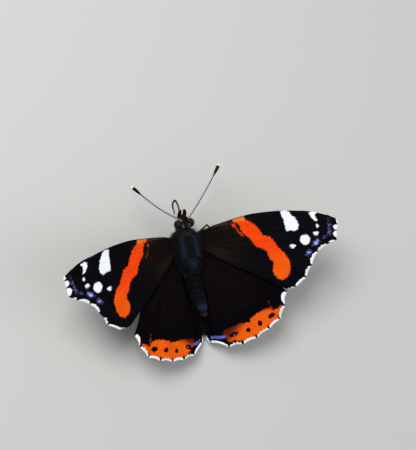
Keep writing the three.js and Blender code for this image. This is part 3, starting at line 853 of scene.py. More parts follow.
def wing_material(kind):
    """The upper side of a wing: black and brown scales, an orange band, white marks, blue flecks."""
    fore = kind == "fore"
    g = Graph(f"{kind}wing_upper_side", roughness=0.7, specular=0.04 if fore else 0.02)
    weave, plane = g.place("weave"), g.place("plane")
    out, ahead = g.split(plane)
    scale = g.stretched(weave, 5.0, 7.5)
    grain = g.cells(scale, 1.0)
    ragged = (grain - 0.5) * 0.32 + (g.noise(plane, 1.6, 3) - 0.5) * 0.5
    streak = g.noise(g.stretched(weave, 0.12, 3.2), 1.4, 4)
    brown = g.field("brown") * (g.step(streak, 0.46, 0.66) * 0.7 + 0.4)
    ground = g.mix(brown if fore else brown * 0.36, BLACK, BROWN)
    ground = g.mix(g.step(grain, 0.965, 0.995) * 0.06, ground, srgb(120, 120, 150))
    band = g.within("band", ragged, 0.05)
    warm, deep = (ORANGE, DEEP_ORANGE) if fore else (LIGHT_ORANGE, srgb(228, 78, 8))
    orange = g.mix(g.step(g.noise(plane, 2.6, 3), 0.35, 0.7), warm, deep)
    orange = g.mix(g.step(grain, 0.75, 1.0) * 0.3, orange, LIGHT_ORANGE)
    flecks = g.step(g.noise(g.stretched(weave, 2.2, 3.4), 1.0, 3, 0.6), 0.4, 0.54)
    blue = g.mix(grain, BLUE, srgb(96, 104, 200))
    if fore:
        orange = g.mix(g.step(ahead + out * 0.12, 2.4, 3.2), orange, PALE_ORANGE)
        lit = g.step(g.noise(g.stretched(weave, 0.5, 3), 2, 3), 0.42, 0.62)
        lit = lit * g.step(ahead, 1.0, 1.7) * g.step(out, 10.5, 6.5)
        ground = g.mix(lit * 0.4, ground, srgb(150, 92, 50))
        orange = g.mix(g.step(ahead, -5.5, -9.5) * 0.6, orange, LIGHT_ORANGE)
        blue = g.mix(g.step(g.field("blue"), -0.05, -0.45), blue, srgb(196, 204, 246))
        blue = g.mix(g.step(out, 28.4, 29.4), blue, srgb(128, 112, 176))
    else:
        orange = g.mix(g.step(ahead, -19.7, -18.6), orange, srgb(122, 46, 16))
        orange = g.mix(g.field("fade"), orange, srgb(88, 28, 10))
        flecks = g.math("MAXIMUM", flecks, 0.75)
    dust = g.step(g.field("blue") + ragged * (1.6 if fore else 0.9), 0.15, -0.35) * flecks
    color = g.mix(band, ground, orange)
    color = g.mix(dust * 0.9 if fore else dust, color, blue)
    drawn = g.field("vein") * (1.0 - band) + g.field("crossing") * band
    dark = g.step(drawn, 0.2, 0.8)
    if fore:
        light = g.within("white", ragged * 0.8, 0.05)
        color = g.mix(light, color, g.mix(grain, WHITE, srgb(236, 238, 248)))
        dark = g.math("MAXIMUM", dark * (0.85 - light), 0.0)
    else:
        color = g.mix(g.within("dots", ragged * 0.7, 0.05), color, BLACK)
        color = g.mix(g.within("core", ragged * 0.4, 0.08) * 0.7, color, blue)
        dark = dark * 0.85
    color = g.mix(dark, color, BLACK)
    color = g.mix(g.step(g.field("front"), 0.22, 0.12), color, BLACK)
    rim = g.field("from_edge") + ragged * 0.4
    border = 0.5 if fore else g.step(out, 6.0, 3.0) * 0.35 + 0.12 + g.field("notch") * 0.6
    color = g.mix(g.step(rim - border, 0.07, -0.07), color, BLACK)
    color = g.mix(g.hem(rim - 0.08), color, WHITE)
    g.bump(g.from_cells(scale, 1.0) * -0.7 + streak * 0.8, 0.00003, 0.6)
    return g.done(color, grain * 0.25 + 0.55)


def underside_material(kind):
    """The underside: the forewing repeats the marks more softly, the hindwing is marbled bark."""
    g = Graph(f"{kind}wing_underside", roughness=0.7, specular=0.2, sheen=0.05)
    weave, plane = g.place("weave"), g.place("plane")
    out, _ = g.split(plane)
    grain = g.cells(g.stretched(weave, 5.0, 7.5), 1.0)
    ragged = (g.noise(plane, 2.2, 4) - 0.5) * 0.7
    marble = g.noise(g.stretched(weave, 0.9, 1.2), 0.9, 5, 0.62)
    bark = g.mix(g.step(marble, 0.38, 0.6), srgb(38, 29, 25), srgb(104, 82, 66))
    bark = g.mix(g.step(g.noise(plane, 0.7, 4), 0.52, 0.66), bark, srgb(28, 24, 28))
    bark = g.mix(g.step(g.noise(plane, 1.3, 3), 0.62, 0.72), bark, srgb(150, 132, 122))
    from_edge = g.field("from_edge")
    if kind == "fore":
        color = g.mix(g.step(out + ragged * 4, 23.0, 25.5), srgb(26, 22, 24), bark)
        color = g.mix(g.within("band", ragged, 0.1), color, srgb(205, 82, 62))
        color = g.mix(g.within("white", ragged, 0.1), color, srgb(226, 222, 226))
        ring = abs(g.field("band") + ragged - 0.9)
        near = g.step(ring, 0.35, 0.15) * g.step(out, 12.5, 10.5)
        color = g.mix(near * 0.7, color, srgb(120, 150, 190))
    else:
        dots = g.field("dots")
        color = g.mix(g.step(abs(dots - 0.25), 0.32, 0.12), bark, srgb(22, 20, 24))
        color = g.mix(g.step(dots, 0.05, -0.25) * 0.7, color, srgb(86, 104, 112))
        color = g.mix(g.step(from_edge + ragged, 1.5, 0.9) * 0.5, color, srgb(128, 118, 128))
    color = g.mix(g.step(abs(from_edge - 0.7), 0.16, 0.06), color, srgb(24, 20, 22))
    color = g.mix(g.hem(from_edge), color, WHITE)
    color = g.mix(g.step(g.field("vein"), 0.4, 0.9) * 0.6, color, srgb(62, 48, 38))
    g.bump(grain + marble, 0.00003, 0.5)
    return g.done(color)


def hair_material(name, root, plain, bright):
    """Hair: each tuft is darker at its root, and tint runs from the plain colour to the bright one."""
    g = Graph(name, specular=0.06)
    return g.done(g.mix(g.step(g.field("tip"), 0.0, 0.7), root, g.mix(g.field("tint"), plain, bright)))


def fringe_material():
    g = Graph("fringe", roughness=0.8, specular=0.1, sheen=0.3)
    return g.done(g.mix(g.field("tint"), BLACK, srgb(255, 255, 255)))


def wing_unwrap(side, roots):
    """Where a wing's tufts lie on the unwrap: the wing's own plane, with half of the map a side."""
    out = 0.02 + 0.96 * (roots[:, 0] + 4) / 37
    ahead = (0.02 if side == "left" else 0.52) + 0.46 * (roots[:, 1] + 27) / 31
    return np.stack([out, ahead], -1)


FRINGE_LAYERS, FRINGE_SPACING = 4, 0.035


def fringe_wing(coat, side, kind, grid):
    """Fringe scales along the scalloped edge: white in the hollows and black at the veins' ends."""
    flat, line_of, share_of, height, place = grid
    first, final = WINGS[kind][side]["fringe"]
    edge, inner = flat[-1], flat[-3]
    run = run_along(edge)
    for _ in range(FRINGE_LAYERS):
        at = np.arange(run[0], run[-1], FRINGE_SPACING)
        at = at + random.uniform(-0.5, 0.5, len(at)) * FRINGE_SPACING
        where = np.interp(at, run, line_of + share_of)
        keep = (where > first - 0.3) & (where < final + 0.25)
        at, where = at[keep], where[keep]
        spot = points_at(at, run, edge)
        out = unit(spot - points_at(at, run, inner))
        spot = spot - out * random.uniform(0.02, 0.22, len(at))[:, None]
        lift = random.uniform(-1, 1, len(at))
        root, _ = on_sheet(spot, height, lift * WING_HALF * 0.9)
        across = np.stack([-out[:, 1], out[:, 0]], -1)
        splay = random.normal(0, 0.12, len(at))[:, None]
        way = np.column_stack([out + across * splay, lift * 0.12])
        depth = hem_white(side, kind, where + random.normal(0, 0.015, len(at)))
        white = (depth > 0.02).astype(float)
        length = 0.34 + 0.08 * white + 0.1 * depth + random.uniform(-0.05, 0.05, len(at))
        length = np.where(where > 12.2, length * 0.7, length)
        coat.add(place(root), place(way, True), 0, length, 0.07, wing_unwrap(side, root), white)


# The long hairs over a wing: how many there are, how far out they grow and their brightest tint
BASAL_HAIR = {"fore": (2600, 0.46, 0.7), "hind": (3400, 0.72, 0.3)}


def basal_hair(coat, side, kind, grid):
    """Long fine hairs that lie outward over the inner half of a wing's upper side."""
    flat, _, _, height, place = grid
    rows, columns = flat.shape[:2]
    count, reach, brightest = BASAL_HAIR[kind]
    r = (0.03 + reach * random.beta(1.3, 1.9, count)) * (rows - 1)
    c = random.uniform(0.5, columns - 1.5, count)
    ri, ci = r.astype(int), c.astype(int)
    here = flat[ri, ci]
    spot = here + (flat[ri + 1, ci] - here) * (r - ri)[:, None]
    spot = spot + (flat[ri, ci + 1] - here) * (c - ci)[:, None]
    out = unit(flat[np.minimum(ri + 4, rows - 1), ci] - here)
    root, normal = on_sheet(spot, height, 0.05)
    way = np.column_stack([out + random.normal(0, 0.1, (count, 2)), np.zeros(count)])
    slope = (way * normal).sum(1, keepdims=True)
    way = way - normal * slope + normal * random.uniform(0.03, 0.12, (count, 1))
    length = random.uniform(0.9, 1.9, count) * (1.15 - 0.4 * r / rows)
    clear = np.ones(count, bool)
    if kind == "fore":
        tip = spot + way[:, :2] * length[:, None]
        near = np.minimum(polygon_distance(spot, ORANGE_BAND), polygon_distance(tip, ORANGE_BAND))
        clear = (near > 0.35) & ~((tip[:, 1] > 1.2) & (tip[:, 0] > 6.5))
    tint = random.uniform(0, 1, count) * brightest
    droop, uv = place(normal, True) * -0.12, wing_unwrap(side, root)
    coat.add(place(root), place(way, True), droop, length, 0.045, uv, tint, clear)


MARGIN_HAIRS = 2600


def margin_hair(coat, side, grid):
    """Long hairs of a hindwing's inner fold, which close the gap under the abdomen."""
    flat, line_of, _, height, place = grid
    rows, count = len(flat), MARGIN_HAIRS
    inner = np.flatnonzero(line_of >= 8)
    r = random.uniform(0.28, 0.985, count) * (rows - 1)
    ri = r.astype(int)
    ci = random.choice(inner[len(inner) // 2 :], count)
    spot = flat[ri, ci] + (flat[ri + 1, ci] - flat[ri, ci]) * (r - ri)[:, None]
    root, normal = on_sheet(spot, height, 0.04)
    way = np.column_stack([-np.ones(count), -random.uniform(0.5, 1.5, count), np.zeros(count)])
    way = way + random.normal(0, 0.12, (count, 3))
    way = way + normal * random.uniform(0.1, 0.5, (count, 1))
    length = random.uniform(0.6, 1.25, count) * (1 - 0.45 * smooth_step(r / rows, 0.85, 1))
    uv, tint = wing_unwrap(side, root), random.uniform(0, 0.4, count)
    coat.add(place(root), place(way, True), 0, length, 0.05, uv, tint)


# The body: rings round a row of stations, (y, half width, top, underside)
THORAX_STATIONS = [
    (2.1, 1.15, 0.9, -1.3), (1.55, 1.85, 1.45, -2.1), (0.6, 2.35, 1.85, -2.8), (-0.8, 2.62, 2.1, -3.2),
    (-2.6, 2.68, 2.2, -3.3), (-3.8, 2.58, 2.12, -3.15), (-4.25, 2.48, 1.84, -3.05),
    (-4.9, 2.3, 2.0, -2.8), (-5.6, 1.98, 1.78, -2.45), (-6.25, 1.62, 1.35, -2.0), (-7.2, 1.3, 1.0, -1.6),
]
NECK_STATIONS = [(y, 1.05, 0.75, -1.15) for y in np.linspace(3.4, 1.6, 8)]
ABDOMEN_START, ABDOMEN_LENGTH, ABDOMEN_SEGMENTS = -7.0, 10.1, 8
ABDOMEN_HALF_WIDTH, ABDOMEN_HALF_HEIGHT, ABDOMEN_BEND = 1.78, 1.72, 0.85
COAT_DEPTH = 0.16


def middle_x(y):
    """Where the body's middle lies: the head is turned and the tail leans to the right."""
    tail = ABDOMEN_BEND * np.maximum(0, (ABDOMEN_START - y) / ABDOMEN_LENGTH) ** 2
    return tail + HEAD_X * smooth_step(y, 1.4, 3.2)


def body_skin_over(stations, sides=72):
    """The skin round some stations, a coat's depth inside the solids."""
    turn = circle(sides)
    rings = []
    for y, half, top, under in stations:
        middle, tall = (top + under) / 2, (top - under) / 2 - COAT_DEPTH
        x = middle_x(y) - (half - COAT_DEPTH) * np.sin(turn)
        rings.append(np.stack([x, np.full(sides, y), middle + tall * np.cos(turn)], -1))
    return skin_over(rings)


def fine_stations(stations, count):
    rows = np.array(stations[::-1])
    ys = np.linspace(rows[-1, 0], rows[0, 0], count)
    return np.column_stack([ys, points_at(ys, rows[:, 0], rows[:, 1:])])


def abdomen_stations():
    stations = []
    for t in np.linspace(-0.06, 0.985, 150):
        along = max(t, 0)
        within = (along * ABDOMEN_SEGMENTS) % 1
        swell = 0.98 + 0.03 * smooth_step(within, 0, 0.8) - 0.025 * smooth_step(within, 0.86, 1)
        tail = max(0, (along - 0.3) / 0.72) ** 2.4
        full = min(1, 0.68 + 1.6 * along) * math.sqrt(max(1 - tail, 0.02)) * swell
        middle, tall = -0.15 + 0.25 * t, ABDOMEN_HALF_HEIGHT * full
        y = ABDOMEN_START - t * ABDOMEN_LENGTH
        stations.append((y, ABDOMEN_HALF_WIDTH * full, middle + tall, middle - tall))
    return stations


def oval(centre, radii, across=48, down=32):
    """Points and triangles of an oval ball."""
    turn = circle(across)
    rings = [
        np.stack([np.sin(p) * np.cos(turn), np.sin(p) * np.sin(turn), np.full(across, -np.cos(p))], -1)
        for p in np.linspace(0.04, math.pi - 0.04, down)
    ]
    points, faces = skin_over(rings)
    return points * radii + centre, faces


def read(items, name, kind=float):
    """One property of all of a mesh's items, three numbers each."""
    values = np.empty(len(items) * 3, kind)
    items.foreach_get(name, values)
    return values.reshape(-1, 3)


def body_skin(material):
    """Head, thorax and abdomen as one skin without seams, a coat's depth inside the solids."""
    collar = [oval((s * 0.75, 1.75, 0.55), (0.95, 0.55, 0.6)) for s in (-1, 1)]
    shoulders = [oval((s * 1.95, -0.35, 0.75), (0.75, 1.75, 0.6)) for s in (-1, 1)]
    points, faces = joined(
        body_skin_over(fine_stations(THORAX_STATIONS, 60)),
        body_skin_over(abdomen_stations()),
        oval(HEAD, np.array([1.42, 1.38, 1.36]) - 0.05),
        oval(HEAD + [0, 0.35, 0.75], [0.85, 0.85, 0.7]),
        oval(HEAD + [0, 1.0, -0.35], [0.8, 0.75, 0.95]),
        *collar,
        *shoulders,
        body_skin_over(NECK_STATIONS),
    )
    piece = new_mesh("body_skin", points, faces)
    grow = piece.modifiers.new("fuse", "REMESH")
    grow.mode, grow.voxel_size = "VOXEL", 0.1
    ease = piece.modifiers.new("ease", "SMOOTH")
    ease.factor, ease.iterations = 0.5, 5
    settled = bpy.data.meshes.new_from_object(
        piece.evaluated_get(bpy.context.evaluated_depsgraph_get())
    )
    piece.modifiers.clear()
    piece.data = settled
    settled.name = "body_skin"
    points, normals = read(settled.vertices, "co"), read(settled.vertices, "normal")
    settled.calc_loop_triangles()
    triangles = read(settled.loop_triangles, "vertices", np.int32)
    settled.vertices.foreach_set("co", to_part(points).astype(np.float32).ravel())
    settled.polygons.foreach_set("use_smooth", np.full(len(settled.polygons), True))
    settled.update()
    mark(piece, "at", points)
    finish_piece(piece, [material], ["head", "thorax", "abdomen"])
    return points, normals, triangles


def body_material():
    """Scaled skin under the coat: nearly black, with a little brown."""
    g = Graph("body_skin", roughness=0.7, specular=0.05)
    at = g.place("at")
    tone = g.noise(g.stretched(at, 1.5, 0.5, 1.5), 2.0, 4)
    color = g.mix(g.step(tone, 0.35, 0.65), srgb(12, 12, 15), srgb(30, 26, 26))
    scale = g.cells(g.stretched(at, 9, 6, 9), 1.0)
    g.bump(scale + tone, 0.00004, 0.6)
    return g.done(g.mix(scale * 0.3, color, srgb(44, 42, 46)))


def scatter(points, normals, triangles, count):
    """Random roots over a skin, even by area, with the skin's normal at each."""
    corners = points[triangles]
    area = np.linalg.norm(np.cross(corners[:, 1] - corners[:, 0], corners[:, 2] - corners[:, 0]), axis=1)
    pick = random.choice(len(triangles), count, p=area / area.sum())
    a, b = random.random((2, count))
    over = a + b > 1
    a[over], b[over] = 1 - a[over], 1 - b[over]
    weights = np.stack([1 - a - b, a, b], -1)[..., None]
    return (corners[pick] * weights).sum(1), unit((normals[triangles[pick]] * weights).sum(1))


BODY_TUFTS = 52000


def body_coat(skin, materials):
    """Hair and hair-like scales over head, thorax and abdomen, lying back along the body."""
    roots, normals = scatter(*skin, BODY_TUFTS)
    eyes = [np.linalg.norm((roots - on_head(s, EYE)) / (EYE_RADII + 0.03), axis=1) for s in (-1, 1)]
    clear = np.minimum(*eyes) > 1
    roots, normals = roots[clear], normals[clear]
    x, y, z = roots.T
    count, up = len(roots), normals[:, 2]
    x = x - middle_x(y)
    aside = np.abs(x)
    of_head, on_abdomen = smooth_step(y, 1.9, 2.5), smooth_step(-y, 6.3, 7.2)
    on_thorax = (1 - of_head) * (1 - on_abdomen)
    above = smooth_step(up, -0.3, 0.4)
    under = 1 - above
    flank = smooth_step(aside, 1.2, 2.3) * on_thorax
    waist = bell(y, -6.6, 0.9) * smooth_step(aside, 0.6, 1.3)
    beside = of_head * smooth_step(aside, 0.6, 1.1)
    lie = np.tile([0, -1.0, 0], (count, 1))
    lie[:, 0] += np.sign(x) * (0.25 * on_thorax + 0.3 * of_head + 0.5 * waist + 0.6 * beside)
    lie[:, 1] += 1.8 * of_head * smooth_step(y, 3.7, 4.4)
    lie += random.normal(0, 0.16, (count, 3))
    lie = unit(lie - normals * (lie * normals).sum(1, keepdims=True))
    lift = 0.22 + (0.16 + 0.25 * under) * on_thorax + 0.3 * flank + 0.45 * of_head
    lift = (lift - 0.04 * on_abdomen) * random.uniform(0.6, 1.4, count)
    ways = lie + normals * lift[:, None]
    collar = smooth_step(y, 0.8, 1.6) * smooth_step(aside, 0.5, 1.2)
    length = 0.34 + (0.5 + 0.35 * under + 0.3 * collar) * on_thorax + 1.0 * flank
    length = length + 0.3 * of_head + 0.25 * beside * above + 0.9 * waist + 0.14 * on_abdomen
    tail = smooth_step(-y, 15.9, 16.9)
    groove = bell(y, -3.95, 0.33) * above
    length = (length + 0.3 * tail) * (1 - 0.7 * groove) * random.uniform(0.65, 1.25, count)
    width = 0.075 - 0.02 * on_thorax - 0.03 * flank + 0.01 * on_abdomen
    angle = (np.arctan2(x, z + 0.5) / (2 * math.pi)) % 1
    uv = np.stack([0.02 + 0.96 * angle, 0.98 - 0.96 * (6.0 - y) / 24], -1)
    gloss = random.uniform(0, 1, count)
    # Painted sheen: a bluish sheen on the upper side of the abdomen's end
    tail_sheen_painted = bell(y, -15.1, 0.95) + 0.1 * bell(y, -12.6, 1.6)
    tail_sheen_painted = tail_sheen_painted * smooth_step(up, 0.15, 0.6)
    # Painted sheen: blue highlight stripes along the thorax's back, a paler painted sheen on the shield
    # behind them and a thin painted highlight along the crescent before it, on the upper side only
    sheen_stripes_painted = bell(np.abs(x - 0.1), 1.35, 0.5) * smooth_step(y, -4.2, -3.2)
    shield_sheen_painted = bell(x, 0.25, 0.95) * bell(y, -5.3, 0.9)
    crescent_highlight_painted = bell(y + 0.12 * (x - 0.5) ** 2, -4.1, 0.13) * (np.abs(x - 0.2) < 1.0)
    sheen = np.maximum(0.5 * sheen_stripes_painted, 0.6 * shield_sheen_painted) * above + crescent_highlight_painted * above
    between_eyes = smooth_step(y, 2.8, 3.1) * smooth_step(-y, -4.0, -3.7)
    white = bell(aside, 0.53, 0.13) * between_eyes * above
    thorax = (on_thorax > 0.5) & (y <= 1.2)
    on_back = np.clip(0.02 + sheen + 0.2 * under, 0, 1) * (0.4 + 0.6 * gloss)
    on_tail = np.clip(0.02 + 0.75 * tail_sheen_painted + 0.3 * under, 0, 1) * (0.3 + 0.7 * gloss)
    on_face = np.clip(0.06 * gloss + 0.95 * white + 0.25 * under + 0.4 * (gloss > 0.97), 0, 1)
    groups = {
        "thorax_hair": (thorax & (up > 0.2), on_back),
        "breast_hair": (thorax & (up <= 0.2), on_back),
        "collar_hair": ((on_thorax > 0.5) & (y > 1.2), 0.15 + 0.5 * gloss),
        "abdomen_scales": ((on_abdomen > 0.5) & (tail < 0.5), on_tail),
        "tail_hair": (tail >= 0.5, gloss),
        "head_hair": (of_head > 0.5, on_face),
    }
    for name, (inside, tint) in groups.items():
        coat = Coat()
        droop = lie * 0.2 - normals * 0.1
        coat.add(roots - normals * 0.03, ways, droop, length, width, uv, tint, inside)
        coat.make(name, "body_hair", materials[name])


def make_eyes(material):
    for side, sign in SIDES.items():
        centre, eye = on_head(sign, EYE), f"eye_{side}"
        points, faces = oval(centre, EYE_RADII - 0.04, 72, 48)
        add_piece(f"{eye}_facets", points, faces, "eyes", material, eye, at=points - centre)


def eye_material():
    g = Graph("eye", roughness=0.42, specular=0.14)
    at = g.place("at")
    facet = g.from_cells(at, 20)
    color = g.mix(g.step(g.noise(at, 1.1, 3), 0.42, 0.6), srgb(22, 13, 10), srgb(86, 46, 21))
    g.bump(facet, 0.00002, 0.5)
    return g.done(g.mix(g.step(facet, 0.3, 0.6) * 0.6, color, srgb(14, 8, 7)))


# Antennae, palps, tongue and legs
ANTENNA_TIP = {"left": (10.65, 13.95, 2.7), "right": (10.6, 15.1, 2.7)}
ANTENNA_ROOT = (0.5, 4.15, 0.85)
ANTENNA_BOW = {"left": (0.15, -0.85, 0.4), "right": (0.15, -0.15, 0.4)}
ANTENNA_RING = 0.5
ANTENNA_PROFILE = tapered(
    (0, 0.2), (0.02, 0.27), (0.045, 0.25), (0.055, 0.2), (0.1, 0.17), (0.5, 0.165), (0.78, 0.17),
    (0.83, 0.22), (0.88, 0.33), (0.93, 0.38), (0.97, 0.34), (0.99, 0.22), (1, 0.08),
)


def make_antennae(material):
    t = np.linspace(-0.03, 1, 26)[:, None]
    for side, sign in SIDES.items():
        root, tip = on_head(sign, ANTENNA_ROOT), np.array(ANTENNA_TIP[side]) * [sign, 1, 1]
        bow = np.array(ANTENNA_BOW[side]) * [sign, 1, 1]
        path = root + (tip - root) * t + bow * np.sin(math.pi * t)
        total = run_along(path)[-1]

        def radii(share):
            swell = np.sin(math.pi * share * total / ANTENNA_RING) ** 2
            return ANTENNA_PROFILE(share) * (0.95 + 0.1 * swell)

        points, faces, along = sweep(path, radii, 420, 18)
        add_piece(
            f"antenna_{side}_rings", points, faces, "antennae", material, f"antenna_{side}",
            along=along, share=along / along.max(),
        )


def antenna_material():
    g = Graph("antenna", roughness=0.5, specular=0.12)
    ring = g.math("FRACT", g.math("DIVIDE", g.field("along"), ANTENNA_RING))
    band = g.step(abs(ring - 0.5), 0.17, 0.11)
    share = g.field("share")
    shaft = g.step(share, 0.84, 0.78) * g.step(share, 0.03, 0.06)
    color = g.mix(band * shaft, srgb(7, 7, 9), srgb(226, 226, 232))
    g.bump(band, 0.00001, 0.4)
    return g.done(g.mix(g.step(share, 0.955, 0.965), color, srgb(250, 232, 214)))


BRISTLE_STEPS = 400


def bristle(coat, joints, radii, *, count, first, forward, splay, lengths, droop, width, column, tint):
    """Bristles all round a limb, from its first step on. column is their place on the unwrap, and
    tint is a function of the way out of the limb."""
    path, tangents, normals, across, _ = smooth_path(joints, BRISTLE_STEPS)
    pick = random.integers(first, BRISTLE_STEPS - 5, count)
    turn = random.uniform(0, 2 * math.pi, count)
    out = normals[pick] * np.cos(turn)[:, None] + across[pick] * np.sin(turn)[:, None]
    roots = path[pick] + out * (radii(pick / (BRISTLE_STEPS - 1)) * 0.9)[:, None]
    ways = tangents[pick] * forward + out * random.uniform(*splay, (count, 1))
    length = random.uniform(*lengths, count)
    uv = np.stack([column + 0.1 * turn / 6.3, pick / BRISTLE_STEPS], -1)
    coat.add(roots, ways, tangents[pick] * droop, length, width, uv, tint(out))


PALP = [(0.45, 4.1, -1.0), (0.56, 5.05, -0.85), (0.6, 5.65, -0.3), (0.56, 6.15, 0.15), (0.48, 6.45, 0.4)]
FORELEG = [(0.7, 0.9, -1.7), (0.95, 1.8, -2.7), (0.95, 2.8, -2.8), (0.9, 3.6, -2.65), (0.85, 4.3, -2.45)]


def make_palps(hair, coat):
    """The palps stand up before the face: a core with bristles pointing forward and out."""
    radii = tapered((0, 0.26), (0.3, 0.34), (0.6, 0.32), (0.85, 0.2), (1, 0.07))
    for side, sign in SIDES.items():
        joints, palp = on_head(sign, PALP), f"palp_{side}"
        points, faces, _ = sweep(joints, radii, 60, 20)
        tint, tip = np.full(len(points), 0.2), np.full(len(points), 0.6)
        add_piece(f"{palp}_core", points, faces, "body_hair", hair, palp, tint=tint, tip=tip)
        bristle(
            coat, joints, radii, count=1500, first=10, forward=1.3, splay=(0.25, 0.7),
            lengths=(0.3, 0.62), droop=0.15, width=0.06, column=0.5 + 0.2 * sign,
            tint=lambda out: np.clip(0.1 - out[:, 2], 0, 1) * 0.8,
        )


def make_forelegs(material, coat):
    """The small brush-feet, folded under the head and thick with hair."""
    radii = tapered((0, 0.3), (0.3, 0.24), (0.6, 0.26), (0.9, 0.16), (1, 0.08))
    for side, sign in SIDES.items():
        joints, foreleg = on_head(sign, FORELEG), f"foreleg_{side}"
        points, faces, _ = sweep(joints, radii, 70)
        add_piece(f"{foreleg}_core", points, faces, "legs", material, foreleg, at=points)
        bristle(
            coat, joints, radii, count=1300, first=20, forward=1.0, splay=(0.3, 0.8),
            lengths=(0.3, 0.6), droop=0, width=0.05, column=0.45 + 0.35 * sign,
            tint=lambda out: random.uniform(0, 0.2, len(out)),
        )


# The tongue's joints to just past its knee, and those of its drop, at heights above the floor
TONGUE = [
    (0.5, 3.8, -1.5), (0.55, 5.2, -1.85), (0.45, 6.6, -1.2), (0.05, 8.1, -0.3), (-0.5, 9.05, 0.05),
    (-0.75, 8.65, -0.75),
]
TONGUE_DROP = [(-0.5, 7.9, 5.0), (0.5, 7.0, 2.3), (0.85, 6.75, 0.5)]


def make_tongue(material):
    drop = to_body(np.array(TONGUE_DROP) + ORIGIN * [1, 1, 0])
    radii = tapered((0, 0.24), (0.3, 0.22), (0.6, 0.2), (0.95, 0.13), (1, 0.06))
    points, faces, along = sweep([*TONGUE, *drop], radii, 260)
    add_piece("tongue", points, faces, "tongue", material, "proboscis", along=along)


def tongue_material():
    g = Graph("tongue", roughness=0.4, specular=0.3)
    along = g.field("along")
    ring = g.math("FRACT", along * 9.0)
    color = g.mix(g.step(along, 4.2, 5.8), srgb(150, 92, 34), srgb(28, 22, 26))
    g.bump(ring, 0.00001, 0.4)
    return g.done(g.mix(g.step(ring, 0.7, 0.95) * 0.5, color, srgb(28, 16, 12)))


# The walking legs: hips in the butterfly's own frame; knee, ankle and toe above the floor
HIPS = {"midleg": (1.1, -1.0, -2.5), "hindleg": (1.0, -4.0, -2.75)}
HIND_JOINTS = [(5.3, -7.0, 4.45), (8.0, -11.0, 0.5), (9.6, -14.8, 0.15)]
LEGS = {
    "left": {"midleg": [(5.7, 0.8, 4.9), (8.8, 0.9, 0.5), (12.6, 1.5, 0.15)], "hindleg": HIND_JOINTS},
    "right": {"midleg": [(6.3, 2.5, 5.2), (9.0, 1.5, 0.5), (12.8, 1.3, 0.15)], "hindleg": HIND_JOINTS},
}
THIGH = tapered((0, 0.3), (0.3, 0.36), (0.8, 0.26), (0.95, 0.2), (1, 0.14))
SHIN = tapered((0, 0.16), (0.1, 0.21), (0.6, 0.18), (0.92, 0.2), (1, 0.13))


def cone(root, tip, radius):
    """A thin spine from root to tip."""
    way = unit(tip - root)
    side = unit(np.cross(way, helper(way)))
    turn = circle(6)[:, None]
    ring = (side * np.cos(turn) + np.cross(way, side) * np.sin(turn)) * radius
    return skin_over([root + ring, root + (tip - root) * 0.6 + ring * 0.6, tip + ring * 0.08])


def make_legs(material):
    for side, sign in SIDES.items():
        for leg, joints in LEGS[side].items():
            hip = np.array(HIPS[leg]) * [sign, 1, 1]
            knee, ankle, toe = to_body(np.array(joints) * [sign, 1, 1] + ORIGIN * [1, 1, 0])
            thigh, shin = knee - hip, ankle - knee
            sole = ankle + (toe - ankle) * 0.16
            sole = to_body((sole @ TILT.T + ORIGIN) * [1, 1, 0] + [0, 0, 0.16])
            points, faces = joined(
                sweep([hip, hip + thigh * 0.2], tapered((0, 0.5), (1, 0.42)), 14),
                sweep([hip + thigh * 0.12, hip + thigh * 0.55, knee], THIGH, 50),
                sweep([knee, knee + shin * 0.5, ankle], SHIN, 50),
                sweep([ankle, sole, toe], tarsus_radii, 120, 14),
                *leg_spines(knee, ankle, sole, toe),
            )
            name = f"{leg}_{side}"
            add_piece(f"{name}_scaled", points, faces, "legs", material, name, at=points)


def tarsus_radii(share):
    """The foot's five joints, each a little wider at its end."""
    within = (share * 5) % 1
    return (0.115 + 0.03 * within**2) * np.interp(share, [0, 0.97, 1], [1, 1, 0.4])


def leg_spines(knee, ankle, sole, toe):
    """Spines in rows down the shin and foot, spurs at the ankle and a pair of claws."""
    spines = []
    down = np.array([0, -math.sin(PITCH), -math.cos(PITCH)])
    shin, foot = ankle - knee, toe - sole
    out = unit(np.cross(shin, down))

    def row(start, run, shares, gap, reach, splay, radius, sink=0.0):
        """Pairs of spines at shares of a run, a gap to each side, that slant along it."""
        for share in shares:
            for turn in (-1, 1):
                root = start + run * share + out * turn * gap
                tip = root + unit(run) * reach + out * turn * splay + down * sink
                spines.append(cone(root, tip, radius))

    row(knee, shin, 0.15 + 0.085 * np.arange(9), 0.14, 0.28, 0.16, 0.032)
    row(ankle, sole - ankle, [0], 0.08, 0.5, 0.2, 0.05)
    row(sole, foot, 0.06 + 0.115 * np.arange(8), 0.09, 0.2, 0.1, 0.025, 0.04)
    for turn in (-1, 1):
        root = toe - unit(foot) * 0.05 + out * turn * 0.05
        bend = root + unit(foot) * 0.22 + out * turn * 0.12 - down * 0.03
        tip = bend + unit(foot) * 0.1 + out * turn * 0.05 + down * 0.12
        spines += [cone(root, bend, 0.055), cone(bend - (bend - root) * 0.25, tip, 0.04)]
    return spines


def leg_material():
    g = Graph("leg", roughness=0.55, specular=0.15)
    at = g.place("at")
    color = g.mix(g.step(g.noise(at, 1.8, 4), 0.35, 0.65), srgb(24, 18, 16), srgb(74, 46, 28))
    scale = g.cells(at, 9.0)
    g.bump(scale, 0.00002, 0.5)
    return g.done(g.mix(g.step(scale, 0.7, 1.0) * 0.25, color, srgb(150, 130, 108)))


# The setting: lamps with their places, sizes and power
LAMPS = {"key": ((-0.14, 0.16, 0.34), 0.2, 1.15), "fill": ((0.22, -0.14, 0.26), 0.3, 0.3)}


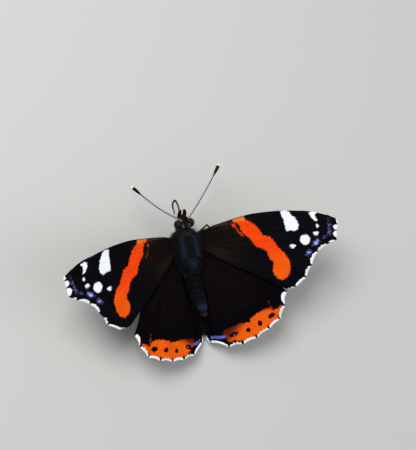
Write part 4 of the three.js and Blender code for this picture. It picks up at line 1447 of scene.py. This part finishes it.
def set_stage():
    bpy.ops.mesh.primitive_plane_add(size=3)
    floor = bpy.context.object
    floor.name = "floor"
    floor.data.materials.append(Graph("floor", 0.85, 0.2).done(srgb(205, 205, 201)))
    scene = bpy.context.scene
    scene.world = bpy.data.worlds.new("soft_light")
    scene.world.use_nodes = True
    background = scene.world.node_tree.nodes["Background"]
    background.inputs[0].default_value = (0.93, 0.96, 1.0, 1)
    background.inputs[1].default_value = 0.36
    for name, (place, size, power) in LAMPS.items():
        data = bpy.data.lights.new(name, "AREA")
        data.size, data.energy = size, power
        lamp = bpy.data.objects.new(name, data)
        lamp.location = place
        lamp.rotation_euler = (-Vector(place)).to_track_quat("-Z", "Y").to_euler()
        scene.collection.objects.link(lamp)
    scene.view_settings.view_transform = "Standard"


look_from_photo()
set_stage()

# The coats' colours: at the root, plain and bright. The bright blues of thorax_hair and abdomen_scales
# are painted sheen on the upper side, and also the paler hair of the underside
hair = {
    name: hair_material(name, srgb(*root), srgb(*plain), srgb(*bright))
    for name, root, plain, bright in (
        ("thorax_hair", (9, 10, 12), (30, 30, 32), (76, 94, 130)),
        ("collar_hair", (8, 8, 8), (26, 24, 23), (82, 80, 78)),
        ("abdomen_scales", (5, 4, 5), (12, 10, 11), (84, 90, 140)),
        ("tail_hair", (26, 18, 14), (72, 50, 36), (112, 84, 62)),
        ("head_hair", (7, 6, 6), (18, 15, 14), (150, 150, 150)),
        ("wing_hair", (8, 6, 6), (20, 15, 12), (56, 40, 29)),
    )
}
hair["breast_hair"] = hair["thorax_hair"]
fringe = fringe_material()
leg = leg_material()

skin = body_skin(body_material())
body_coat(skin, hair)
make_eyes(eye_material())
make_antennae(antenna_material())
make_tongue(tongue_material())
make_legs(leg)

bristles = Coat()
make_palps(hair["head_hair"], bristles)
make_forelegs(leg, bristles)
bristles.make("bristles", "body_hair", hair["head_hair"])

for kind in ("fore", "hind"):
    materials = [wing_material(kind), underside_material(kind)]
    fringes, long_hair = Coat(0.2, smooth=False), Coat()
    for side in SIDES:
        grid = make_wing(side, kind, materials)
        fringe_wing(fringes, side, kind, grid)
        basal_hair(long_hair, side, kind, grid)
        if kind == "hind":
            margin_hair(long_hair, side, grid)
    fringes.make(f"{kind}wing_fringe", "wing_scales", fringe)
    long_hair.make(f"{kind}wing_hair", "wing_scales", hair["wing_hair"])
